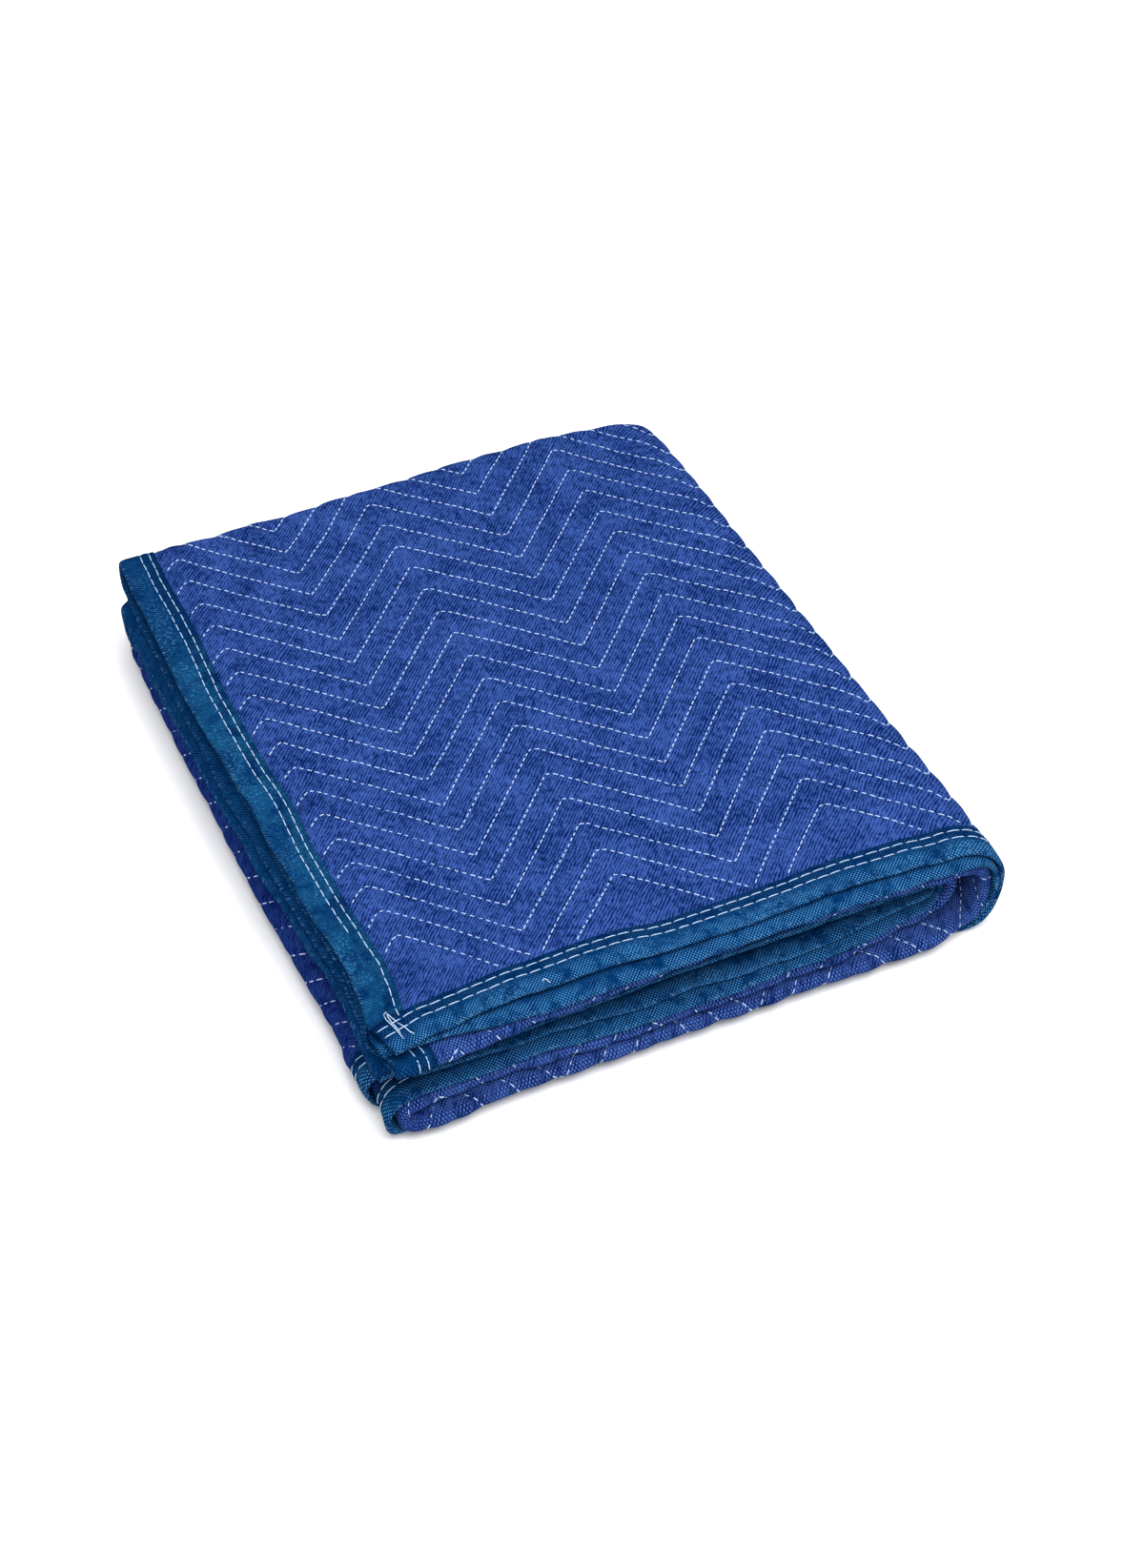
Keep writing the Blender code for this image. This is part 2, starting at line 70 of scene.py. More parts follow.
class Slot(Enum):
    """The record's material slots."""

    PAD = "pad_cloth"
    TAPE = "edge_tape"


class Side(Enum):
    """A face of the cloth: the outer one, or the one that is folded inside."""

    OUTER = 1.0
    INNER = -1.0


class Edge(Enum):
    """The cloth's four bound edges."""

    FRONT = "front"
    SECOND = "second"
    LEFT = "left"
    INNER_END = "inner_end"


class Seed(IntEnum):
    """Which random pattern each unevenness takes its values from."""

    FRONT_RIPPLE = 5
    FRONT_RIPPLE_FINE = 6
    SIDE_RIPPLE = 8
    DRAWN = 11
    LUMPS = 12
    CREASES = 13
    WANDER = 14
    QUILT_START = 21
    QUILT_GAP = 22
    BINDING_GAP = 23
    BINDING_BOW = 24
    TAPE = 31


# ------------------------------------------------------------------ numbers and noise
def smooth(value: Array) -> Array:
    """Eases from 0 to 1 as value goes from 0 to 1."""
    share = np.clip(value, 0.0, 1.0)
    return share * share * (3.0 - 2.0 * share)


def fade(away: Array, reach: float) -> Array:
    """Returns 1 where away is 0 or less, easing to 0 where it comes to reach."""
    return smooth(1.0 - away / reach)


def eased_between(at: Array, places: Array, values: Array) -> Array:
    """Reads a table of values, eased from each place to the next.

    Args:
        at: Where to read it.
        places: The table's places, rising.
        values: The value at each place.

    Returns:
        One value for each place read.
    """
    low = np.clip(np.searchsorted(places, at, side="right") - 1, 0, len(values) - 2)
    share = (at - places[low]) / (places[low + 1] - places[low])
    return values[low] + (values[low + 1] - values[low]) * smooth(share)


def lattice_value(column: Array, row: Array, seed: int) -> Array:
    """Gives each whole-numbered place of a lattice its own value.

    Args:
        column: Whole numbers along the lattice.
        row: Whole numbers across it.
        seed: Picks one lattice among many.

    Returns:
        Values from -1 to 1, the same on each run.
    """
    column_step, row_step, seed_step, scale = SCATTER
    mixed = np.sin(column * column_step + row * row_step + seed * seed_step) * scale
    return 2.0 * (mixed - np.floor(mixed)) - 1.0


def noise(x: Array, y: Array, seed: int) -> Array:
    """Smooth noise that wanders over one unit.

    Args:
        x: Places, in units of the noise's grain.
        y: The same the other way.
        seed: Picks one noise among many.

    Returns:
        Values between -1 and 1.
    """
    column, row = np.floor(x), np.floor(y)
    share_x, share_y = smooth(x - column), smooth(y - row)
    low = lattice_value(column, row, seed) * (1 - share_x)
    low = low + lattice_value(column + 1, row, seed) * share_x
    high = lattice_value(column, row + 1, seed) * (1 - share_x)
    high = high + lattice_value(column + 1, row + 1, seed) * share_x
    return low * (1 - share_y) + high * share_y


# ------------------------------------------------------------------ how the cloth is folded
@dataclass(frozen=True)
class QuarterFold:
    """A strip folded in half twice: four level runs joined by three round turns.

    stops holds the strip's start, far outer turn, near turn, far inner turn and end.
    """

    stops: tuple[float, float, float, float, float]
    pitch: float

    @property
    def lengths(self) -> tuple[float, ...]:
        """Works out the lengths of the runs and turns.

        Returns:
            The lengths, in order along the strip.
        """
        start, outer, near, inner, end = self.stops
        wide, narrow = OUTER_LEVEL * math.pi * self.pitch, 0.5 * math.pi * self.pitch
        return (outer - start, wide, outer - near, narrow, inner - near, narrow, inner - end)

    @property
    def starts(self) -> tuple[float, ...]:
        """Where each run and turn starts, and where the last one ends."""
        return tuple(sum(self.lengths[:i]) for i in range(8))

    @property
    def total(self) -> float:
        """The strip's whole length."""
        return self.starts[7]

    def at(self, distance: Array) -> tuple[Array, Array, Array, Array]:
        """Finds the strip's place and level, and which way its outer face looks.

        Args:
            distance: Distances along the strip.

        Returns:
            Place, level, and the outer face's direction along each.
        """
        start, outer, near, inner, _ = self.stops
        starts = np.asarray(self.starts)
        part = np.clip(np.searchsorted(starts, distance, side="right") - 1, 0, 6)
        local = distance - starts[part]
        place, level = np.zeros_like(distance), np.zeros_like(distance)
        forward, upward = np.zeros_like(distance), np.zeros_like(distance)
        # Each run: its part, where it starts, its heading, its level and how its outer face looks.
        runs = (
            (0, start, 1.0, OUTER_LEVEL, 1.0),
            (2, outer, -1.0, -OUTER_LEVEL, -1.0),
            (4, near, 1.0, -0.5, 1.0),
            (6, inner, -1.0, 0.5, -1.0),
        )
        for index, origin, heading, height, facing in runs:
            here = part == index
            place[here] = origin + heading * local[here]
            level[here] = height * self.pitch
            upward[here] = facing
        # Each turn: its part, centre, level, radius, first angle, way round and outer side.
        turns = (
            (1, outer, 0.0, OUTER_LEVEL, 0.5, -1.0, 1.0),
            (3, near, -1.0, 0.5, -0.5, -1.0, 1.0),
            (5, inner, 0.0, 0.5, -0.5, 1.0, -1.0),
        )
        for index, centre, height, radius, first, spin, side in turns:
            here = part == index
            angle = math.pi * first + spin * local[here] / (radius * self.pitch)
            place[here] = centre + radius * self.pitch * np.cos(angle)
            level[here] = height * self.pitch + radius * self.pitch * np.sin(angle)
            forward[here] = side * np.cos(angle)
            upward[here] = side * np.sin(angle)
        return place, level, forward, upward


@dataclass(frozen=True)
class FrontRow:
    """How the front edges and turns stray at one place across, in mm from the first peak."""

    storey: int
    x: float
    edge_1: float
    fold: float
    edge_2: float
    back: float


@dataclass(frozen=True)
class SideRow:
    """How the side ends and turns stray at one place along, in mm from the first peak."""

    y: float
    start: float
    turn: float
    end: float
    right: float


@dataclass(frozen=True)
class LeafEnd:
    """How far a leaf's left end is drawn in, in millimetres, in the top and third storeys."""

    top: float
    third: float


@dataclass
class Packet:
    """Where every point of the flat cloth lies in the folded packet."""

    leaf_pitch: float = 4.95 * MM
    bundle_pitch: float = 20.3 * MM
    pad_face: float = 2.0 * MM
    centre: tuple[float, float] = MIDDLE
    across_stops: tuple[float, ...] = tuple(x * MM for x in (-40.0, 362.0, -30.0, 350.0, -47.0))
    along_stops: tuple[float, ...] = tuple(y * MM for y in (-457.0, 35.0, -457.0, 31.0, -464.0))
    front: tuple[FrontRow, ...] = (
        FrontRow(0, -40, -461, -470, -456, 35),
        FrontRow(0, -5, -456, -469, -459, 35),
        FrontRow(0, 35, -452, -466, -463, 32),
        FrontRow(0, 105, -452, -463, -466, 32),
        FrontRow(0, 160, -457, -462, -466, 34),
        FrontRow(0, 205, -458, -461, -466, 36),
        FrontRow(0, 285, -455, -462, -467, 36),
        FrontRow(0, 330, -458, -464, -468, 34),
        FrontRow(0, 355, -461, -466, -469, 31),
        FrontRow(1, 0.5, -464, -464, -465, 26),
        FrontRow(1, 0.8, -467, -468, -465, 28),
        FrontRow(2, 340, -456, -475, -458, 34),
        FrontRow(2, 180, -452, -473, -459, 38),
        FrontRow(2, 40, -454, -472, -460, 38),
        FrontRow(2, -20, -446, -474, -466, 34),
        FrontRow(3, 0.55, -438, -469, -468, 26),
        FrontRow(4, -18, -452, -466, -464, 30),
        FrontRow(4, 45, -456, -465, -464, 36),
        FrontRow(4, 150, -461, -469, -470, 36),
        FrontRow(4, 265, -463, -469, -469, 36),
        FrontRow(4, 335, -456, -462, -461, 34),
        FrontRow(5, 0.5, -451, -457, -453, 30),
        FrontRow(6, 335, -450, -453, -452, 34),
        FrontRow(6, 150, -450, -449, -454, 36),
        FrontRow(6, 0, -452, -450, -456, 33),
        FrontRow(6, -25, -451, -453, -453, 25),
        FrontRow(6, -45, -450, -454, -452, 15),
    )
    sides: tuple[SideRow, ...] = (
        SideRow(-465, 2.0, 0.5, -1.0, 4.5),
        SideRow(-449, -1.0, 0.0, -0.5, 5.0),
        SideRow(-434, -4.5, -1.0, 0.0, 5.0),
        SideRow(-407, -0.5, -1.0, 2.0, 5.0),
        SideRow(-385, 1.5, 1.8, 3.5, 4.5),
        SideRow(-362, 0.5, 1.8, 4.0, 3.5),
        SideRow(-340, -1.0, 0.8, 1.0, 3.0),
        SideRow(-300, -1.5, 0.6, 1.5, 2.0),
        SideRow(-262, -1.8, -0.3, -1.5, 1.2),
        SideRow(-235, -0.5, -0.2, 0.5, 0.8),
        SideRow(-200, -2.2, 0.1, -1.0, 0.2),
        SideRow(-155, -1.5, 1.4, -1.0, -0.7),
        SideRow(-110, -1.5, 1.8, -1.0, -1.2),
        SideRow(-35, 2.0, 3.8, 0.0, -1.2),
        SideRow(5, 2.5, 6.0, 1.0, -1.8),
        SideRow(25, 4.0, 9.4, 4.0, -3.0),
        SideRow(50, 7.0, 11.0, 6.0, -6.0),
    )
    # A straying edge or turn pulls the cloth in full within its core, and ever less out to its reach.
    stray_reach: float = 110.0 * MM
    pull_core: float = 12.0 * MM
    ends: tuple[LeafEnd, ...] = (
        LeafEnd(0.0, 3.0),
        LeafEnd(-5.0, -4.0),
        LeafEnd(2.0, 2.0),
        LeafEnd(4.0, 3.0),
    )
    # Near the front, the second edge's leaf flares out to the left, at its end and at its turn.
    flare_from: float = -406.0 * MM
    flare_run: float = 40.0 * MM
    flare_reach: float = 90.0 * MM
    flare_start: float = 8.0 * MM
    flare_turn: float = 6.0 * MM
    flare_turns_late: float = 0.85
    # The two upper storeys sag in a round at the left, most of all at the back. The front edge
    # sags too, but for what lies close to the floor.
    sag_from_x: float = -30.0 * MM
    sag_radius: float = 19.6 * MM
    sag_most: float = 17.0 * MM
    sag_share: tuple[float, float] = (0.35, 0.5)
    front_sag: float = 4.5 * MM
    front_sag_from: float = -455.0 * MM
    front_sag_run: float = 28.0 * MM
    low_storey: float = 10.0 * MM
    # The stack swells in broad and fine waves, and its edges and turns ripple.
    swell: float = 0.012
    swell_broad: tuple[float, float, float, float] = (9.0, 1.0, 11.0, 0.6)
    swell_fine: tuple[float, float, float] = (0.5, 31.0, 17.0)
    ripple: float = 1.1 * MM
    ripple_grain: float = 34.0 * MM
    ripple_fine: float = 0.45
    ripple_reach: float = 45.0 * MM
    side_ripple: float = 0.8
    width_fold: QuarterFold = field(init=False)
    length_fold: QuarterFold = field(init=False)
    front_places: Array = field(init=False)

    def __post_init__(self) -> None:
        """Works out the two folds and where the front table's rows fall."""
        self.width_fold = QuarterFold(self.across_stops, self.bundle_pitch)
        self.length_fold = QuarterFold(self.along_stops, self.leaf_pitch)
        self.front_places = np.array([self.storey_distance(row) for row in self.front])

    def storey_distance(self, row: FrontRow) -> float:
        """Works out where a row of the front table lies on the cloth.

        Args:
            row: A row whose x is a place on a level storey, or a share of a turn.

        Returns:
            Its cloth coordinate across.
        """
        fold = self.width_fold
        first = fold.starts[row.storey]
        if row.storey % 2:
            return first + row.x * fold.lengths[row.storey]
        start, outer, near, inner, _ = self.across_stops
        origin = {0: start, 2: outer, 4: near, 6: inner}[row.storey]
        return first + abs(row.x * MM - origin)

    def front_at(self, across: Array, name: str) -> Array:
        """Reads a column of the front table at each place across."""
        values = np.array([getattr(row, name) for row in self.front]) * MM
        return eased_between(across, self.front_places, values)

    def stray_along(self, across: Array, along: Array) -> Array:
        """Finds how far points are pulled forward or back by the cloth's edges and turns.

        Args:
            across: Cloth coordinates across.
            along: Cloth coordinates along.

        Returns:
            A shift along the packet for each point.
        """
        starts = self.length_fold.starts
        front_1, outer, near, _, front_2 = self.along_stops
        turn = self.leaf_pitch / 2
        back = self.front_at(across, "back") - outer
        pulls = (
            (starts[0], self.front_at(across, "edge_1") - front_1),
            (0.5 * (starts[1] + starts[2]), back),
            (0.5 * (starts[3] + starts[4]), self.front_at(across, "fold") + turn + self.pad_face - near),
            (0.5 * (starts[5] + starts[6]), back),
            (starts[7], self.front_at(across, "edge_2") - front_2),
        )
        total = np.zeros_like(across)
        for index, (place, pull) in enumerate(pulls):
            away = np.abs(along - place) - self.pull_core
            total += pull * fade(away, self.stray_reach)
            row = np.full_like(across, index)
            wave = noise(across / self.ripple_grain, row + 0.5, Seed.FRONT_RIPPLE)
            fine_grain = self.ripple_fine * self.ripple_grain
            wave = wave + 0.5 * noise(across / fine_grain, row, Seed.FRONT_RIPPLE_FINE)
            total += self.ripple * wave * fade(away, self.ripple_reach)
        return total

    def side_at(self, y: Array, name: str) -> Array:
        """Reads a column of the side table at each place along the packet."""
        values = np.array([getattr(row, name) for row in self.sides]) * MM
        return eased_between(y, np.array([row.y for row in self.sides]) * MM, values)

    def near_turn(self, across: Array, turn: int) -> Array:
        """Returns 1 on a side turn, easing to 0 where the cloth no longer follows it."""
        low, high = self.width_fold.starts[turn], self.width_fold.starts[turn + 1]
        return fade(np.maximum(low - across, across - high), self.stray_reach)

    def stray_across(self, across: Array, along: Array, y: Array) -> Array:
        """Finds how far points are moved sideways by the uneven ends and turns.

        Args:
            across: Cloth coordinates across.
            along: Cloth coordinates along.
            y: Places along the packet.

        Returns:
            A shift across the packet for each point.
        """
        starts = self.length_fold.starts
        middles = [0.5 * (starts[i] + starts[i + 1]) for i in (0, 2, 4, 6)]
        top = np.interp(along, middles, [leaf.top for leaf in self.ends]) * MM
        third = np.interp(along, middles, [leaf.third for leaf in self.ends]) * MM
        near_start = fade(across, self.stray_reach)
        near_end = fade(self.width_fold.total - across, self.stray_reach)
        wave = noise(along / self.ripple_grain, along * 0 + 0.5, Seed.SIDE_RIPPLE)
        ripple = self.side_ripple * self.ripple * wave * (near_start**3 + near_end**3)
        left = (top + self.side_at(y, "start")) * near_start + (third + self.side_at(y, "end")) * near_end
        left = left + self.side_at(y, "turn") * self.near_turn(across, 3)
        forward = (self.flare_from - y) / self.flare_run
        loose = smooth(forward) * fade(self.length_fold.total - along, self.flare_reach)
        left = left - loose * self.flare_start * near_start
        turned = smooth(forward - self.flare_turns_late)
        left = left - loose * turned * self.flare_turn * self.near_turn(across, 3)
        right = self.side_at(y, "right") * (self.near_turn(across, 1) + self.near_turn(across, 5))
        return left + right + ripple

    def backward(self, y: Array) -> Array:
        """Returns 0 at the front of the packet, easing to 1 at its back."""
        front, back = self.along_stops[:2]
        return smooth((y - front) / (back - front))

    def settle(self, x: Array, y: Array, z: Array, across: Array) -> Array:
        """Lets the stacked cloth sag at its edges and swell a little.

        Args:
            x: Places across the packet.
            y: Places along it.
            z: Heights before settling.
            across: Cloth coordinates across.

        Returns:
            Heights after settling.
        """
        fold = self.width_fold
        upper = (across < fold.starts[1]) | (across > fold.starts[6])
        reach = np.clip(self.sag_from_x - x, 0.0, self.sag_most)
        sag = self.sag_radius - np.sqrt(self.sag_radius**2 - reach**2)
        front_share, back_share = self.sag_share
        z = z - upper * sag * (front_share + back_share * self.backward(y))
        share = np.clip(z / self.low_storey, 0.0, 1.0)
        z = z - self.front_sag * smooth((self.front_sag_from - y) / self.front_sag_run) * share
        turns_x, first_x, turns_y, first_y = self.swell_broad
        weight, fine_x, fine_y = self.swell_fine
        swell = np.sin(turns_x * x + first_x) * np.sin(turns_y * y + first_y)
        swell = swell + weight * np.sin(fine_x * x - fine_y * y)
        return z * (1.0 + self.swell * swell)

    def place(self, across: Array, along: Array, offset: Array) -> Array:
        """Takes points of the flat cloth to their places in the packet.

        Args:
            across: Cloth coordinates across.
            along: Cloth coordinates along.
            offset: Distances from the middle of the cloth towards its outer face.

        Returns:
            One row of x, y and z for each point.
        """
        across, along, offset = (np.asarray(v, float) for v in (across, along, offset))
        y, level, out_y, out_level = self.length_fold.at(along)
        y = y + self.stray_along(across, along) + offset * out_y
        level = level + offset * out_level
        x, z, out_x, out_z = self.width_fold.at(across)
        x = x + level * out_x
        z = z + level * out_z + OUTER_LEVEL * (self.bundle_pitch + self.leaf_pitch) + self.pad_face
        x = x + self.stray_across(across, along, y)
        z = self.settle(x, y, z, across)
        return np.stack([x - self.centre[0], y - self.centre[1], z], axis=1)


# ------------------------------------------------------------------ quilting and relief
@dataclass(frozen=True)
class Relief:
    """One kind of small wrinkle: its height in millimetres and the grain of its pattern."""

    height: float
    grain_x: float
    grain_y: float


@dataclass
class Quilting:
    """Zigzag rows of stitches, and the puffs and puckers between them."""

    # The zigzag: from row to row, from peak to valley, its first peak and how peaks are cut off.
    row: float = 25.4 * MM
    reach: float = 76.2 * MM
    first_across: float = 40.0 * MM
    first_along: float = 457.0 * MM
    cut_depth: float = 2.3 * MM
    cut_slope: float = 0.45
    # How rows wander, are drawn back at the front corner, and stop short of the front.
    wander: float = 0.6 * MM
    wander_grain: tuple[float, float] = (38.0 * MM, 33.0 * MM)
    corner_pull: float = 9.6 * MM
    corner_along: tuple[float, float] = (235.0 * MM, 150.0 * MM)
    corner_across: tuple[float, float] = (115.0 * MM, 75.0 * MM)
    front_margin: float = 60.0 * MM
    # How far the peaks slide across in the other storeys, and how rows slant at the left turn.
    slide_first: float = -46.0 * MM
    slide_fold: float = 14.0 * MM
    slide_along: tuple[float, float] = (620.0 * MM, 260.0 * MM)
    slide_across: tuple[float, float] = (600.0 * MM, 180.0 * MM)
    turn_at: float = 906.0 * MM
    turn_slant: float = 0.7
    turn_reach: float = 20.0 * MM
    # The outer face: its height on the stitches and on the crest between, and the groove's shape.
    stitch_face: float = 0.95 * MM
    crest_face: float = 2.15 * MM
    groove: float = 2.2 * MM
    groove_share: float = 0.62
    # Wrinkles drawn up by the stitches, lumps of filling, and slanting creases.
    drawn: Relief = Relief(0.42, 6.5 * MM, 15.0 * MM)
    drawn_reach: float = 5.0 * MM
    lumps: Relief = Relief(0.26, 13.0 * MM, 11.0 * MM)
    creases: Relief = Relief(0.20, 9.0 * MM, 6.5 * MM)
    crease_slant: float = 22.0 * MM

    def drop(self, across: Array, along: Array) -> Array:
        """Finds how far the zigzag lies below its peaks, which are cut off a little.

        Args:
            across: Cloth coordinates across.
            along: Cloth coordinates along.

        Returns:
            A distance along the cloth for each point.
        """
        from_along, ease_along = self.slide_along
        from_across, ease_across = self.slide_across
        inner = smooth((along - from_along) / ease_along)
        slide = self.slide_first + (self.slide_fold - self.slide_first) * inner
        across = across + slide * smooth((across - from_across) / ease_across)
        column = np.round((across - self.first_across) / (2 * self.reach))
        from_peak = across - self.first_across - column * 2 * self.reach
        slope = np.where(column == 0, -self.cut_slope, self.cut_slope)
        return np.maximum(np.abs(from_peak), self.cut_depth + slope * from_peak)

    def stray(self, across: Array, along: Array) -> Array:
        """Finds how far the rows wander from true, most of all at the front corner.

        Args:
            across: Cloth coordinates across.
            along: Cloth coordinates along.

        Returns:
            A distance along the cloth for each point.
        """
        grain_x, grain_y = self.wander_grain
        to_along, ease_along = self.corner_along
        to_across, ease_across = self.corner_across
        slow = self.wander * noise(across / grain_x, along / grain_y, Seed.WANDER)
        near_front = np.clip((to_along - along) / ease_along, 0.0, 1.0)
        pulled = self.corner_pull * near_front * smooth((to_across - across) / ease_across)
        past_turn = across - self.turn_at
        return slow + pulled - self.turn_slant * past_turn * np.exp(-((past_turn / self.turn_reach) ** 2))

    def phase(self, across: Array, along: Array) -> Array:
        """Counts zigzag rows: a whole number on a line of stitches, a half on a crest."""
        strayed = along - self.first_along + self.drop(across, along) - self.stray(across, along)
        return strayed / self.row

    @property
    def first_row(self) -> int:
        """The row nearest the front that is sewn."""
        return math.ceil((self.front_margin - self.first_along) / self.row)

    def distance(self, across: Array, along: Array) -> Array:
        """Measures how far points are from the nearest line of stitches.

        Args:
            across: Cloth coordinates across.
            along: Cloth coordinates along.

        Returns:
            A distance for each point.
        """
        phase = self.phase(across, along)
        nearest = np.maximum(np.round(phase), self.first_row)
        return np.abs(phase - nearest) * self.row / math.sqrt(2.0)

    def face(self, across: Array, along: Array) -> Array:
        """Shapes the pad's outer face: puffed, puckered and uneven.

        Args:
            across: Cloth coordinates across.
            along: Cloth coordinates along.

        Returns:
            The face's height above the middle of the cloth for each point.
        """
        away = self.distance(across, along)
        widest = 0.5 * self.row / math.sqrt(2.0)
        swell = np.sin(0.5 * math.pi * np.minimum(away / widest, 1.0))
        steep = 1.0 - np.exp(-away / self.groove)
        crest = self.groove_share * steep + (1.0 - self.groove_share) * swell
        face = self.stitch_face + (self.crest_face - self.stitch_face) * crest
        return face + self.puckers(across, along, away)

    def puckers(self, across: Array, along: Array, away: Array) -> Array:
        """Shapes the small wrinkles that the stitches draw up, and the filling's lumps.

        Args:
            across: Cloth coordinates across.
            along: Cloth coordinates along.
            away: Distances from the nearest line of stitches.

        Returns:
            A height for each point, above or below the puffed face.
        """
        falling = np.floor((across - self.first_across) / self.reach) % 2 == 0
        run = np.where(falling, across - along, across + along) / math.sqrt(2.0)
        rise = np.where(falling, across + along, across - along) / math.sqrt(2.0)
        drawn = noise(run / self.drawn.grain_x, rise / self.drawn.grain_y, Seed.DRAWN)
        drawn = drawn * np.exp(-away / self.drawn_reach)
        lumps = noise(across / self.lumps.grain_x, along / self.lumps.grain_y, Seed.LUMPS)
        slanted = across / self.creases.grain_x - along / self.crease_slant
        creases = noise(slanted, along / self.creases.grain_y, Seed.CREASES)
        heights = self.drawn.height * drawn + self.lumps.height * lumps + self.creases.height * creases
        return heights * MM


@dataclass
class Cloth:
    """The flat cloth: the sizes that the pad, its tape and the thread share."""

    packet: Packet
    quilting: Quilting
    pad_back: float = 1.6 * MM
    pressed_half: float = 0.9 * MM
    tape_face: float = 1.95 * MM
    tape_thickness: float = 0.75 * MM
    tape_width: float = 25.4 * MM
    clearance: float = 0.3 * MM
    press_run: float = 3.5 * MM

    @property
    def width(self) -> float:
        """The cloth's flat size across."""
        return self.packet.width_fold.total

    @property
    def length(self) -> float:
        """The cloth's flat size along."""
        return self.packet.length_fold.total

    def inward(self, across: Array, along: Array) -> Array:
        """Returns the distance in from the nearest edge of the cloth."""
        sideways = np.minimum(across, self.width - across)
        return np.minimum(sideways, np.minimum(along, self.length - along))

    def from_edge(self, edge: Edge, place: Array, inward: Array) -> tuple[Array, Array]:
        """Takes places along an edge, and distances in from it, to cloth coordinates.

        Args:
            edge: Which edge of the cloth.
            place: Places along it.
            inward: Distances in from it.

        Returns:
            Cloth coordinates across and along.
        """
        if edge in (Edge.FRONT, Edge.SECOND):
            return place, inward if edge is Edge.FRONT else self.length - inward
        return inward if edge is Edge.LEFT else self.width - inward, place

    def swelling(self, across: Array, along: Array) -> Array:
        """Finds where the pad is pressed under the tape and where it is full.

        Args:
            across: Cloth coordinates across.
            along: Cloth coordinates along.

        Returns:
            0 under the tape, easing to 1 where the pad has its full thickness.
        """
        from_left = across - LEFT_SWAY.at(along)
        from_front = along - FRONT_SWAY.at(across)
        inward = np.minimum(self.inward(across, along), np.minimum(from_left, from_front))
        return smooth((inward - self.tape_width - self.clearance) / self.press_run)

    def outer_face(self, across: Array, along: Array) -> Array:
        """Returns the height of the pad's outer face above its middle."""
        puffed = self.quilting.face(across, along)
        return self.pressed_half + (puffed - self.pressed_half) * self.swelling(across, along)

    def inner_face(self, across: Array, along: Array) -> Array:
        """Returns the height of the pad's inner face, which is below its middle."""
        depth = self.pad_back - self.pressed_half
        return -(self.pressed_half + depth * self.swelling(across, along))


@dataclass(frozen=True)
class Sway:
    """How far the sewing of one strip wanders in from its rows, at places along it."""

    places: tuple[float, ...] = (0.0,)
    shifts: tuple[float, ...] = (0.0,)

    def at(self, place: Array) -> Array:
        """Returns the wander at each place."""
        return np.interp(place, np.array(self.places) * MM, np.array(self.shifts) * MM)


FRONT_SWAY = Sway(
    (20, 40, 50, 60, 70, 80, 100, 120, 150, 165, 175, 182, 190, 205, 220, 240, 260, 275, 300, 320, 340, 360),
    (-0.2, 0.6, 0.6, -1.2, -1.0, -0.2, -0.2, 0.6, 1.0, 1.2, 1.8, 1.3, -0.1, -1.2, -0.9, -0.4, -0.6, -1.2)
    + (-1.0, -0.5, 0.0, 0.6),
)
LEFT_SWAY = Sway(
    (25, 45, 65, 75, 95, 115, 145, 165, 175, 185, 195, 205, 215, 225, 245, 275, 295, 315, 335, 355, 375)
    + (405, 425, 437, 465, 490),
    (-1.1, -0.6, -0.4, -1.3, -1.4, -0.9, -0.6, -1.2, -1.4, -0.6, 0.8, 1.2, 0.8, 0.2, 0.0, -0.75, -0.25)
    + (0.2, 0.3, 1.4, 1.9, 2.4, 2.2, 1.6, 1.5, 1.5),
)
STILL = Sway()
ROWS_IN = (14.6 * MM, 20.9 * MM)  # how far in from the edge the tape's two rows are sewn


# ------------------------------------------------------------------ meshes
def zip_rows(low: list[int], high: list[int], low_at: Array, high_at: Array) -> list[tuple[int, ...]]:
    """Joins two rows of points whose spacings differ with triangles.

    Args:
        low: Indices of the first row.
        high: Indices of the second row.
        low_at: Places of the first row's points along the rows.
        high_at: The same for the second row.

    Returns:
        Triangles that fill the strip between the rows.
    """
    faces, i, j = [], 0, 0
    while i < len(low) - 1 or j < len(high) - 1:
        step_low = j == len(high) - 1 or (i < len(low) - 1 and low_at[i + 1] <= high_at[j + 1])
        if step_low:
            faces.append((low[i], low[i + 1], high[j]))
            i += 1
        else:
            faces.append((low[i], high[j + 1], high[j]))
            j += 1
    return faces


def finish_mesh(name: str, points: Array, faces: list[tuple[int, ...]], flat: Array) -> bpy.types.Object:
    """Makes an object from points and faces, facing out, with its cloth coordinates.

    Args:
        name: The piece's name.
        points: One row of x, y, z for each point.
        faces: Indices of each face's corners.
        flat: Two cloth coordinates for each point, kept as a UV map.

    Returns:
        The new object, linked to the scene.
    """
    data = bpy.data.meshes.new(name)
    data.from_pydata(points.tolist(), [], faces)
    mesh = bmesh.new()
    mesh.from_mesh(data)
    bmesh.ops.recalc_face_normals(mesh, faces=mesh.faces)
    if mesh.calc_volume(signed=True) < 0.0:
        bmesh.ops.reverse_faces(mesh, faces=mesh.faces)
    mesh.to_mesh(data)
    mesh.free()
    layer = data.uv_layers.new(name="cloth")
    corners = np.empty(len(data.loops), np.int32)
    data.loops.foreach_get("vertex_index", corners)
    layer.data.foreach_set("uv", flat[corners].astype(np.float32).ravel())
    data.shade_smooth()
    piece = bpy.data.objects.new(name, data)
    bpy.context.scene.collection.objects.link(piece)
    return piece


def keep_values(piece: bpy.types.Object, name: str, values: Array) -> None:
    """Keeps a number at each point of a mesh, for its finish to read."""
    layer = piece.data.attributes.new(name, "FLOAT", "POINT")
    layer.data.foreach_set("value", values.astype(np.float32))


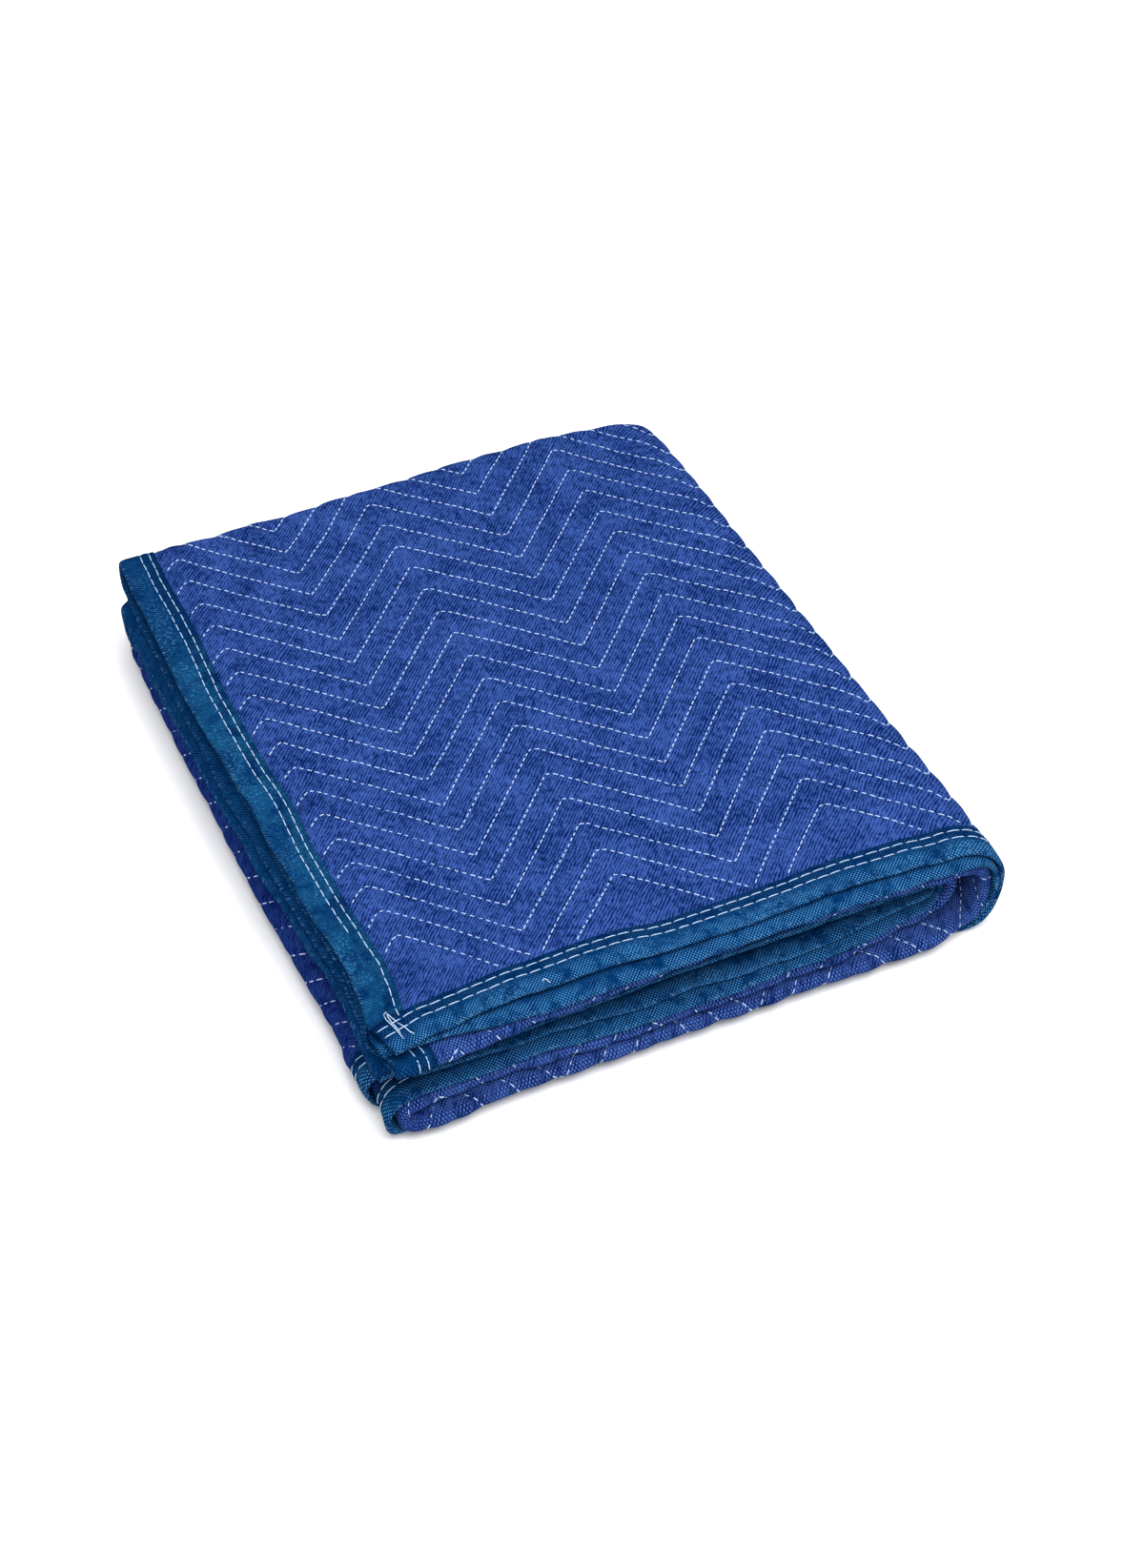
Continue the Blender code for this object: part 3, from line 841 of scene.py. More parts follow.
def spaced(low: float, high: float, step: float) -> list[float]:
    """Returns even steps from low to high, both included, no longer than step."""
    count = max(1, math.ceil((high - low) / step - 1e-6))
    return [low + (high - low) * i / count for i in range(count + 1)]


@dataclass
class PadSheet:
    """The quilted pad: its outer face, its inner face and the rim between them."""

    cloth: Cloth
    name: str = "quilted_pad_cloth"
    # The mesh's lines: fine where the cloth shows or turns, coarse where it lies hidden.
    fine: float = 25.4 / 8 * MM
    coarse: float = 25.4 * MM
    under_tape: float = 12.0 * MM
    past_tape: float = 1.0 * MM
    past_turn: float = 12.0 * MM
    past_back: float = 14.0 * MM
    before_turn: float = 22.0 * MM
    fold_reach: float = 42.0 * MM
    fold_step: float = 1.3 * MM
    back_step: float = 2.0 * MM
    outer_back_step: float = 3.0 * MM
    side_step: float = 4.0 * MM
    outer_side_step: float = 6.0 * MM
    # Extra lines beside the front folds, and how far the painted shade and worn dots of the folds, and the
    # left turn's painted shade, reach.
    fold_marks: tuple[float, float, float] = (30.0 * MM, 18.0 * MM, 8.0 * MM)
    mark_front: tuple[float, float] = (14.0 * MM, 16.0 * MM)
    mark_left: tuple[float, float] = (16.0 * MM, 12.0 * MM)

    def edge_lines(self) -> list[float]:
        """Places the lines of the mesh that lie under the tape.

        Returns:
            Their distances in from the cloth's edge.
        """
        cloth = self.cloth
        edge = cloth.tape_thickness + cloth.clearance
        return [edge, self.under_tape, cloth.tape_width + cloth.clearance]

    def on_grid(self, low: float, high: float, first: float) -> list[float]:
        """Lays fine lines that keep step with the stitches.

        Args:
            low: Where the lines may start.
            high: Where they stop.
            first: A place that a line would pass through.

        Returns:
            The places of the lines.
        """
        start = math.ceil((low - first) / self.fine)
        end = math.floor((high - first) / self.fine)
        return [first + self.fine * i for i in range(start, end + 1)]

    def across_lines(self, fine_runs: bool) -> list[float]:
        """Returns the lines across the cloth.

        Args:
            fine_runs: Whether the runs that lie inside the packet are fine too.

        Returns:
            Cloth coordinates across.
        """
        starts, total = self.cloth.packet.width_fold.starts, self.cloth.width
        under = self.edge_lines()
        first = self.cloth.quilting.first_across
        if fine_runs:
            body = self.on_grid(under[-1] + self.past_tape, total - under[-1] - self.past_tape, first)
        else:
            body = self.on_grid(under[-1] + self.past_tape, starts[2] + self.past_turn, first)
            left = self.on_grid(starts[3] - self.before_turn, starts[4] + self.past_turn, first)
            body += spaced(body[-1], left[0], self.coarse)[1:-1] + left
            inner = spaced(starts[5], starts[6], self.side_step)
            body += spaced(body[-1], inner[0], self.coarse)[1:-1] + inner
            body += spaced(body[-1], total - under[-1], self.coarse)[1:-1]
        return under + body + [total - line for line in reversed(under)]

    def plain_across_lines(self) -> list[float]:
        """Spaces the sparse lines across of the inner face and the hidden leaves.

        Returns:
            Cloth coordinates across.
        """
        starts, total = self.cloth.packet.width_fold.starts, self.cloth.width
        under = self.edge_lines()
        lines = spaced(under[-1], starts[1], self.coarse)[:-1]
        lines += spaced(starts[1], starts[2], self.outer_side_step)[:-1]
        lines += spaced(starts[2], starts[3], self.coarse)[:-1]
        lines += spaced(starts[3], starts[4], self.side_step)[:-1]
        lines += spaced(starts[4], starts[5], self.coarse)[:-1]
        lines += spaced(starts[5], starts[6], self.side_step)[:-1]
        lines += spaced(starts[6], total - under[-1], self.coarse)[:-1]
        return under[:-1] + lines + [total - line for line in reversed(under)]

    def outer_rows(self) -> list[tuple[float, list[float]]]:
        """Lays out the rows of the outer face.

        Returns:
            Each row's place along, and its lines across.
        """
        starts, total = self.cloth.packet.length_fold.starts, self.cloth.length
        under = self.edge_lines()
        shown, every = self.across_lines(False), self.across_lines(True)
        plain = self.plain_across_lines()
        first = self.cloth.quilting.first_along
        rows = [(line, shown) for line in under]
        body = self.on_grid(under[-1] + self.past_tape, starts[2] + self.past_back, first)
        rows += [(line, shown) for line in body]
        fold = self.on_grid(starts[3] - self.fold_reach, starts[3] - self.past_tape, first)
        fold += spaced(starts[3], starts[4], self.fold_step)
        fold += self.on_grid(starts[4] + self.past_tape, starts[4] + self.fold_reach, first)
        rows += [(line, plain) for line in spaced(body[-1], fold[0], self.coarse)[1:-1]]
        rows += [(line, every) for line in fold]
        turn = spaced(starts[5], starts[6], self.back_step)
        rows += [(line, plain) for line in spaced(fold[-1], turn[0], self.coarse)[1:-1]]
        rows += [(line, plain) for line in turn]
        rows += [(line, plain) for line in spaced(turn[-1], total - under[-1], self.coarse)[1:-1]]
        return rows + [(total - line, plain) for line in reversed(under)]

    def inner_rows(self) -> list[tuple[float, list[float]]]:
        """Lays out the rows of the inner face.

        Returns:
            Each row's place along, and its lines across.
        """
        starts, total = self.cloth.packet.length_fold.starts, self.cloth.length
        under = self.edge_lines()
        far, middle, close = self.fold_marks
        lines = spaced(under[-1], starts[1], self.coarse)[:-1]
        lines += spaced(starts[1], starts[2], self.outer_back_step)[:-1]
        lines += spaced(starts[2], starts[3] - far, self.coarse)
        lines += [starts[3] - middle, starts[3] - close]
        lines += spaced(starts[3], starts[4], self.fold_step)
        lines += [starts[4] + close, starts[4] + middle]
        lines += spaced(starts[4] + far, starts[5], self.coarse)[:-1]
        lines += spaced(starts[5], starts[6], self.back_step)[:-1]
        lines += spaced(starts[6], total - under[-1], self.coarse)[:-1]
        lines = under[:-1] + lines + [total - line for line in reversed(under)]
        plain = self.plain_across_lines()
        return [(line, plain) for line in lines]

    def face_of(
        self, rows: list[tuple[float, list[float]]], first: int, height: Callable[[Array, Array], Array]
    ) -> tuple[Array, Array, list[list[int]], list[tuple[int, ...]]]:
        """Builds one face of the pad.

        Args:
            rows: The face's rows.
            first: Index of the first point.
            height: Gives the face's height above the cloth's middle.

        Returns:
            Points, their cloth coordinates, indices by row, and faces.
        """
        across = np.concatenate([np.array(lines) for _, lines in rows])
        along = np.concatenate([np.full(len(lines), place) for place, lines in rows])
        indices, start = [], first
        for _, lines in rows:
            indices.append(list(range(start, start + len(lines))))
            start += len(lines)
        faces: list[tuple[int, ...]] = []
        for (low, high), ((_, low_at), (_, high_at)) in zip(zip(indices, indices[1:]), zip(rows, rows[1:])):
            if low_at is high_at or low_at == high_at:
                faces += self.slanted(low, high, low_at)
            else:
                faces += zip_rows(low, high, np.array(low_at), np.array(high_at))
        points = self.cloth.packet.place(across, along, height(across, along))
        return points, np.stack([across, along], axis=1), indices, faces

    def slanted(self, low: list[int], high: list[int], lines: list[float]) -> list[tuple[int, ...]]:
        """Splits the strip between two like rows along the slant of the stitches.

        Args:
            low: Indices of the first row.
            high: Indices of the second row.
            lines: The lines across that both rows have.

        Returns:
            Two triangles for each step between lines.
        """
        quilting = self.cloth.quilting
        middles = 0.5 * (np.array(lines[:-1]) + np.array(lines[1:]))
        falling = np.floor((middles - quilting.first_across) / quilting.reach) % 2 == 0
        faces = []
        for i, down in enumerate(falling):
            a, b, c, d = low[i], low[i + 1], high[i + 1], high[i]
            faces += [(a, b, d), (b, c, d)] if down else [(a, b, c), (a, c, d)]
        return faces

    def build(self) -> bpy.types.Object:
        """Builds the pad as one closed sheet.

        Returns:
            The pad, with what its finish reads kept at its points.
        """
        outer = self.face_of(self.outer_rows(), 0, self.cloth.outer_face)
        inner = self.face_of(self.inner_rows(), len(outer[0]), self.cloth.inner_face)
        flat = np.concatenate([outer[1], inner[1]])
        faces = outer[3] + inner[3]
        sides = (
            (outer[2][0], inner[2][0], 0),
            (outer[2][-1], inner[2][-1], 0),
            ([row[0] for row in outer[2]], [row[0] for row in inner[2]], 1),
            ([row[-1] for row in outer[2]], [row[-1] for row in inner[2]], 1),
        )
        for low, high, axis in sides:
            faces += zip_rows(low, high, flat[low, axis], flat[high, axis])
        piece = finish_mesh(self.name, np.concatenate([outer[0], inner[0]]), faces, flat)
        self.mark_folds(piece, flat)
        return piece

    def mark_folds(self, piece: bpy.types.Object, flat: Array) -> None:
        """Keeps how close each point is to a front fold and to the left turn, for the finish's painted shade
        and worn dots.

        Args:
            piece: The pad.
            flat: Cloth coordinates of its points.
        """
        wide, deep = self.cloth.packet.width_fold.starts, self.cloth.packet.length_fold.starts
        marks = (
            ("front_fold", flat[:, 1] - 0.5 * (deep[3] + deep[4]), self.mark_front),
            ("left_turn", flat[:, 0] - 0.5 * (wide[3] + wide[4]), self.mark_left),
        )
        for name, away, (core, ease) in marks:
            keep_values(piece, name, fade(np.abs(away) - core, ease))


@dataclass
class EdgeTape:
    """One strip of binding, swept round an edge of the pad as a channel."""

    cloth: Cloth
    name: str
    edge: Edge
    lines: list[float]
    seed: int
    sway: Sway = STILL
    rows_in: tuple[float, float] = ROWS_IN
    bend_in: float = 11.0 * MM
    # How far along the cloth the nap goes, and the runs over which nap, top leaf and sway ease.
    nap_to: float = 410.0 * MM
    nap_ease: float = 50.0 * MM
    leaf_ease: float = 30.0 * MM
    sway_ease: float = 10.0 * MM
    # Puckers drawn up between the rows of stitches, and slack ones nearer the edge.
    drawn_grain: tuple[float, float] = (5.5 * MM, 9.0 * MM)
    drawn_height: tuple[float, float] = (0.10, 0.16)
    drawn_rows: tuple[float, float] = (18.2 * MM, 5.0 * MM)
    slack_grain: tuple[float, float, float] = (17.0 * MM, 30.0 * MM, 11.0 * MM)
    slack_height: float = 0.22
    slack_from: tuple[float, float] = (17.0 * MM, 7.0 * MM)

    def section(self) -> tuple[list[tuple[float, float]], list[tuple[float, float]]]:
        """Draws the tape's section, as distances in from the edge and heights above the middle.

        Returns:
            The outside, with a dip at each row of stitches and a round nose, and the inside.
        """
        face, wide = self.cloth.tape_face, self.cloth.tape_width
        # Each point of one half: how far in it lies, and its height.
        half = [
            (wide, face - 0.55 * MM),
            (wide - 0.6 * MM, face),
            (wide - 2.4 * MM, face + 0.10 * MM),
            (self.rows_in[1], face - 0.32 * MM),
            (self.rows_in[1] - 1.5 * MM, face + 0.14 * MM),
            (17.8 * MM, face + 0.22 * MM),
            (self.rows_in[0] + 1.6 * MM, face + 0.14 * MM),
            (self.rows_in[0], face - 0.32 * MM),
            (self.rows_in[0] - 1.8 * MM, face + 0.14 * MM),
            (10.0 * MM, face + 0.18 * MM),
            (7.0 * MM, face + 0.10 * MM),
            (4.5 * MM, face + 0.02 * MM),
            (2.5 * MM, face - 0.06 * MM),
            (1.2 * MM, face * 0.86),
            (0.35 * MM, face * 0.5),
        ]
        outside = half + [(0.0, 0.0)] + [(place, -height) for place, height in reversed(half)]
        within = face - self.cloth.tape_thickness
        hollow = [(wide, within), (self.bend_in, within), (self.cloth.tape_thickness, within)]
        inside = hollow + [(place, -height) for place, height in reversed(hollow)]
        return outside, inside

    def wrinkle(self, place: Array, inward: Array, height: Array) -> Array:
        """Shapes the tape's puckers: drawn up between its rows and slack near the edge.

        Args:
            place: Places along the strip.
            inward: Distances in from the cloth's edge.
            height: Heights above the middle of the cloth, which tell the face.

        Returns:
            What is added to each height.
        """
        middle, reach = self.drawn_rows
        between_rows = np.exp(-(((inward - middle) / reach) ** 2))
        plain, extra = self.drawn_height
        grain_along, grain_in = self.drawn_grain
        drawn = noise(place / grain_along, inward / grain_in, self.seed) * (plain + extra * between_rows)
        slack_along, slant, slack_in = self.slack_grain
        slack = noise(place / slack_along + inward / slant, inward / slack_in, self.seed + 1)
        start, ease = self.slack_from
        raised = drawn + self.slack_height * slack * smooth((start - inward) / ease)
        return raised * MM * np.sign(height)

    def build(self) -> bpy.types.Object:
        """Builds the strip as one closed channel.

        Returns:
            The strip, with what its finish reads kept at its points.
        """
        outside, inside = self.section()
        ring = np.array(outside + inside[::-1])
        count, size = len(self.lines), len(ring)
        place = np.repeat(np.array(self.lines), size)
        inward, height = np.tile(ring[:, 0], count), np.tile(ring[:, 1], count)
        outer = np.tile(np.arange(size) < len(outside), count)
        height = height + np.where(outer, self.wrinkle(place, inward, height), 0.0)
        strayed = inward + self.sway.at(place) * smooth(inward / self.sway_ease)
        across, along = self.cloth.from_edge(self.edge, place, strayed)
        points = self.cloth.packet.place(across, along, height)
        faces: list[tuple[int, ...]] = []
        for j in range(count - 1):
            for i in range(size):
                k = (i + 1) % size
                faces.append((j * size + i, j * size + k, (j + 1) * size + k, (j + 1) * size + i))
        split = len(outside)
        for end in (0, (count - 1) * size):
            first = [end + i for i in range(split)]
            second = [end + i for i in range(size - 1, split - 1, -1)]
            faces += zip_rows(first, second, np.linspace(0, 1, split), np.linspace(0, 1, size - split))
        girth = np.concatenate([[0.0], np.cumsum(np.hypot(*np.diff(ring, axis=0).T))])
        flat = np.stack([place, np.tile(girth, count)], axis=1)
        piece = finish_mesh(self.name, points, faces, flat)
        past_top = along - self.cloth.packet.length_fold.starts[1]
        keep_values(piece, "inward", inward / MM)
        keep_values(piece, "top_leaf", fade(past_top, self.leaf_ease))
        keep_values(piece, "napped", smooth((self.nap_to - along) / self.nap_ease))
        return piece


@dataclass(frozen=True)
class Stitch:
    """One stitch: a short thread that dives into the cloth at both ends."""

    width: float = 0.78 * MM
    height: float = 0.75 * MM
    sides: int = 6
    cuts: tuple[float, ...] = (-0.62, 0.0, 0.62)
    end_taper: float = 0.45
    end_from: float = 0.9

    def template(self) -> tuple[Array, list[tuple[int, ...]]]:
        """Models a stitch lying along Z from -1 to 1.

        Returns:
            Its points, with unit width and height, and its faces.
        """
        bpy.ops.object.select_all(action="DESELECT")
        bpy.ops.mesh.primitive_cylinder_add(
            vertices=self.sides, radius=0.5, depth=2.0, end_fill_type="TRIFAN"
        )
        thread = bpy.context.object
        bpy.ops.object.mode_set(mode="EDIT")
        for cut in self.cuts:
            bpy.ops.mesh.select_all(action="SELECT")
            bpy.ops.mesh.bisect(plane_co=(0, 0, cut), plane_no=(0, 0, 1))
        bpy.ops.object.mode_set(mode="OBJECT")
        for vert in thread.data.vertices:
            taper = self.end_taper if abs(vert.co.z) > self.end_from else 1.0
            vert.co.x *= taper
            vert.co.y *= taper
        points = np.array([vert.co for vert in thread.data.vertices])
        faces = [tuple(face.vertices) for face in thread.data.polygons]
        bpy.data.objects.remove(thread)
        return points, faces


@dataclass
class ThreadWork:
    """Many stitches laid on the cloth and joined in one mesh."""

    cloth: Cloth
    name: str
    stitch: Stitch
    lift: float = 0.22 * MM
    dive: float = 0.55 * MM

    def build(
        self, starts: Array, ends: Array, faces_up: Array, heights: Callable[[Array, Array], Array]
    ) -> bpy.types.Object:
        """Lays a stitch between each pair of places.

        Args:
            starts: Cloth coordinates where each stitch starts.
            ends: The same where it ends.
            faces_up: 1 for a stitch on the outer face, -1 on the inner face.
            heights: Gives the height of the surface that a stitch lies on.

        Returns:
            The joined stitches.
        """
        points, faces = self.stitch.template()
        count, size = len(starts), len(points)
        share = np.tile(0.5 + 0.5 * points[:, 2], (count, 1))
        across = starts[:, :1] + (ends[:, :1] - starts[:, :1]) * share
        along = starts[:, 1:] + (ends[:, 1:] - starts[:, 1:]) * share
        up = np.repeat(faces_up[:, None], size, axis=1)
        level = heights(across.ravel(), along.ravel()).reshape(count, size)
        bow = self.lift - self.dive * np.tile(points[:, 2] ** 4, (count, 1))
        lift = bow + self.stitch.height * np.tile(points[:, 1], (count, 1))
        heading = (ends - starts) / np.linalg.norm(ends - starts, axis=1)[:, None]
        sideways = self.stitch.width * np.tile(points[:, 0], (count, 1))
        across = across - heading[:, 1:] * sideways
        along = along + heading[:, :1] * sideways
        offset = up * (level + lift)
        placed = self.cloth.packet.place(across.ravel(), along.ravel(), offset.ravel())
        joined: list[tuple[int, ...]] = []
        for first in range(0, count * size, size):
            joined += [tuple(first + corner for corner in face) for face in faces]
        flat = np.stack([across.ravel(), along.ravel()], axis=1)
        return finish_mesh(self.name, placed, joined, flat)


@dataclass
class Sewing:
    """Works out where the stitches of the quilting and of the binding go."""

    cloth: Cloth
    # The quilting's stitches: from one to the next, the gap between, and which of them show.
    quilt_step: float = 5.42 * MM
    quilt_gap: float = 1.5 * MM
    quilt_sample: float = 0.4 * MM
    gap_spread: float = 0.5
    clear_of_tape: float = 1.5 * MM
    top_past_turn: float = 15.0 * MM
    left_turn_reach: tuple[float, float] = (20.0 * MM, 8.0 * MM)
    fold_reach: float = 34.0 * MM
    back_past_turn: float = 6.0 * MM
    # The binding's stitches, on the front strips and on the side strips.
    front_step: float = 9.33 * MM
    left_step: float = 8.6 * MM
    bind_gap: float = 1.1 * MM
    bind_spread: float = 0.35
    bind_bow: float = 0.3 * MM
    bind_bow_grain: float = 14.0 * MM
    rows_in: tuple[float, float] = ROWS_IN
    left_outer_from: float = 91.5 * MM

    def quilt_rows(self) -> tuple[Array, Array]:
        """Places every quilting stitch on the cloth, shown or not.

        Returns:
            Cloth coordinates where each stitch starts, and the same where it ends.
        """
        cloth, quilting = self.cloth, self.cloth.quilting
        fine = np.arange(0.0, cloth.width, self.quilt_sample)
        starts, ends = [], []
        last_row = math.ceil((cloth.length - quilting.first_along + quilting.reach) / quilting.row)
        for row in range(quilting.first_row, last_row + 1):
            base = quilting.first_along + row * quilting.row
            drop = quilting.drop(fine, np.full_like(fine, base - 0.5 * quilting.reach))
            travelled = np.concatenate([[0.0], np.cumsum(np.hypot(np.diff(fine), np.diff(drop)))])
            started = float(lattice_value(np.array(row), np.array(3), Seed.QUILT_START))
            offset = self.quilt_step * (0.5 + 0.5 * started)
            at = np.arange(offset, travelled[-1] - self.quilt_step, self.quilt_step)
            uneven = lattice_value(np.arange(len(at)), np.full(len(at), row), Seed.QUILT_GAP)
            gap = self.quilt_gap * (1.0 + self.gap_spread * uneven)
            low = np.interp(at, travelled, fine)
            high = np.interp(at + self.quilt_step - gap, travelled, fine)
            for places, kept in ((low, starts), (high, ends)):
                true = base - np.interp(places, fine, drop)
                kept.append(np.stack([places, true + quilting.stray(places, true)], axis=1))
        return np.concatenate(starts), np.concatenate(ends)

    def within(
        self, starts: Array, ends: Array, low: tuple[float, float], high: tuple[float, float]
    ) -> Array:
        """Tells which stitches lie wholly inside a window of the flat cloth.

        Args:
            starts: Cloth coordinates where each stitch starts.
            ends: The same where it ends.
            low: The window's lower corner, across and along.
            high: Its upper corner.

        Returns:
            True for each stitch inside.
        """
        inside = np.ones(len(starts), bool)
        for points in (starts, ends):
            inside &= (points[:, 0] > low[0]) & (points[:, 0] < high[0])
            inside &= (points[:, 1] > low[1]) & (points[:, 1] < high[1])
        return inside

    def quilting_parts(self) -> dict[str, tuple[Array, Array]]:
        """Sorts out the quilting stitches that show, in two groups.

        Returns:
            The starts and ends of each group's stitches, by the name of its piece.
        """
        cloth = self.cloth
        starts, ends = self.quilt_rows()
        edge = cloth.tape_width + self.clear_of_tape
        wide, deep = cloth.packet.width_fold.starts, cloth.packet.length_fold.starts
        shown = (edge, edge), (cloth.width - edge, cloth.length - edge)
        whole = self.within(starts, ends, *shown)
        top = self.within(starts, ends, (edge, edge), (wide[2] + self.top_past_turn, deep[2])) & whole
        before, past = self.left_turn_reach
        left = self.within(starts, ends, (wide[3] - before, edge), (wide[4] + past, deep[2]))
        near, far = deep[3] - self.fold_reach, deep[4] + self.fold_reach
        folds = self.within(starts, ends, (0, near), (cloth.width, far))
        back = self.within(starts, ends, (0, deep[1]), (cloth.width, deep[2] + self.back_past_turn))
        rest = (left | folds | back) & whole & ~top
        return {
            "quilting_thread_top": (starts[top], ends[top]),
            "quilting_thread_folds": (starts[rest], ends[rest]),
        }

    def binding_row(self, low: float, high: float, step: float, row: int) -> tuple[Array, Array]:
        """Places the stitches of one row of the binding.

        Args:
            low: Where the row starts along its strip.
            high: Where it ends.
            step: From one stitch to the next.
            row: The row's number, which picks how uneven it is.

        Returns:
            Where each stitch starts, and where it ends.
        """
        at = np.arange(low, high - step, step)
        uneven = lattice_value(np.arange(len(at)), np.full(len(at), row), Seed.BINDING_GAP)
        spread = self.bind_spread
        return at + spread * self.bind_gap * uneven, at + step - self.bind_gap * (1 - spread * uneven)

    def binding_stitches(self) -> tuple[Array, Array, Array]:
        """Places the binding stitches that show.

        Returns:
            Cloth coordinates where each stitch starts, the same where it ends, and its face.
        """
        wide, deep = self.cloth.packet.width_fold.starts, self.cloth.packet.length_fold.starts
        front, left = self.front_step, self.left_step
        # Each run that shows: its edge, where it starts and ends, its step, its face and its sway.
        runs: list[tuple[Edge, float, float, float, Side, Sway]] = [
            (Edge.FRONT, 2 * MM, wide[2] + 30 * MM, front, Side.OUTER, FRONT_SWAY),
            (Edge.FRONT, wide[3] - 45 * MM, wide[4] + 12 * MM, front, Side.OUTER, STILL),
            (Edge.SECOND, wide[3] - 25 * MM, wide[4] + 12 * MM, front, Side.INNER, STILL),
            (Edge.LEFT, 22 * MM, deep[2] + 10 * MM, left, Side.OUTER, LEFT_SWAY),
            (Edge.LEFT, deep[3] - 32 * MM, deep[4] + 32 * MM, left, Side.OUTER, STILL),
            (Edge.INNER_END, deep[3] - 32 * MM, deep[4] + 32 * MM, left, Side.OUTER, STILL),
            (Edge.INNER_END, 2 * MM, 60 * MM, left, Side.OUTER, STILL),
        ]
        starts, ends, faces = [], [], []
        for number, (edge, low, high, step, side, sway) in enumerate(runs):
            for row, inward in enumerate(self.rows_in):
                first, last = self.binding_row(low, high, step, 2 * number + row)
                if edge is Edge.LEFT and row == 0:
                    kept = first > self.left_outer_from
                    first, last = first[kept], last[kept]
                bow = self.bind_bow * noise(first / self.bind_bow_grain, first * 0 + row, Seed.BINDING_BOW)
                for place, kept_places in ((first, starts), (last, ends)):
                    at = self.cloth.from_edge(edge, place, inward + sway.at(place) + bow)
                    kept_places.append(np.stack(at, axis=1))
                faces.append(np.full(len(first), side.value))
        return np.concatenate(starts), np.concatenate(ends), np.concatenate(faces)

    def corner_stitches(self) -> tuple[Array, Array]:
        """Places the crossed stitches that lock the front corner, and a loose end of thread.

        Returns:
            Cloth coordinates where each stitch starts, and the same where it ends.
        """
        crossed = (
            ((11.6, 29.2), (10.7, 6.4)),
            ((13.7, 29.6), (11.5, 11.0)),
            ((11.5, 28.9), (13.8, 30.0)),
            ((13.9, 28.8), (15.8, 20.2)),
            ((15.3, 19.4), (17.2, 7.8)),
            ((16.9, 9.6), (18.5, 5.8)),
        )
        curl = ((109.2, 5.0), (110.3, 6.5), (111.6, 6.2), (112.1, 4.6), (112.2, 3.2), (113.2, 2.2))
        pairs = list(crossed) + list(zip(curl, curl[1:]))
        both = np.array(pairs) * MM
        return both[:, 0], both[:, 1]


# ------------------------------------------------------------------ finishes
TWILL_PITCH = 2.5 * MM  # the twill's repeat both ways, in which it has two raised dots
TWILL_DOTS = (0.58, 0.88)  # how high in the weave a dot starts to show, and shows in full
RIB_WAVER = (130.0, 60.0)  # how fine the noise is that makes ribs waver, both ways
RIB_WANDER = 9.0  # how far that noise shifts them, in radians of their wave


@dataclass(frozen=True)
class Grain:
    """Noise stretched along a direction of the cloth: its turn, fineness and detail."""

    turn: float
    fine_x: float
    fine_y: float
    detail: float = 2.0


@dataclass(frozen=True)
class Ribs:
    """Wavering ribs of a weave: their direction and pitch."""

    pitch: float
    turn: float = 45.0


@dataclass(frozen=True)
class Finish:
    """A cloth or thread finish, built from nodes."""

    name: str
    colour: Colour
    roughness: float = 0.85
    gloss: float = 0.0

    def start(self) -> tuple[bpy.types.Material, Nodes, bpy.types.Node]:
        """Makes the material with its shader's constant values set.

        Returns:
            The material, a helper for its nodes, and its shader.
        """
        material = bpy.data.materials.new(self.name)
        material.use_nodes = True
        shader = material.node_tree.nodes["Principled BSDF"]
        shader.inputs["Base Color"].default_value = (*self.colour, 1.0)
        shader.inputs["Roughness"].default_value = self.roughness
        shader.inputs["Specular IOR Level"].default_value = self.gloss
        return material, Nodes(material.node_tree), shader


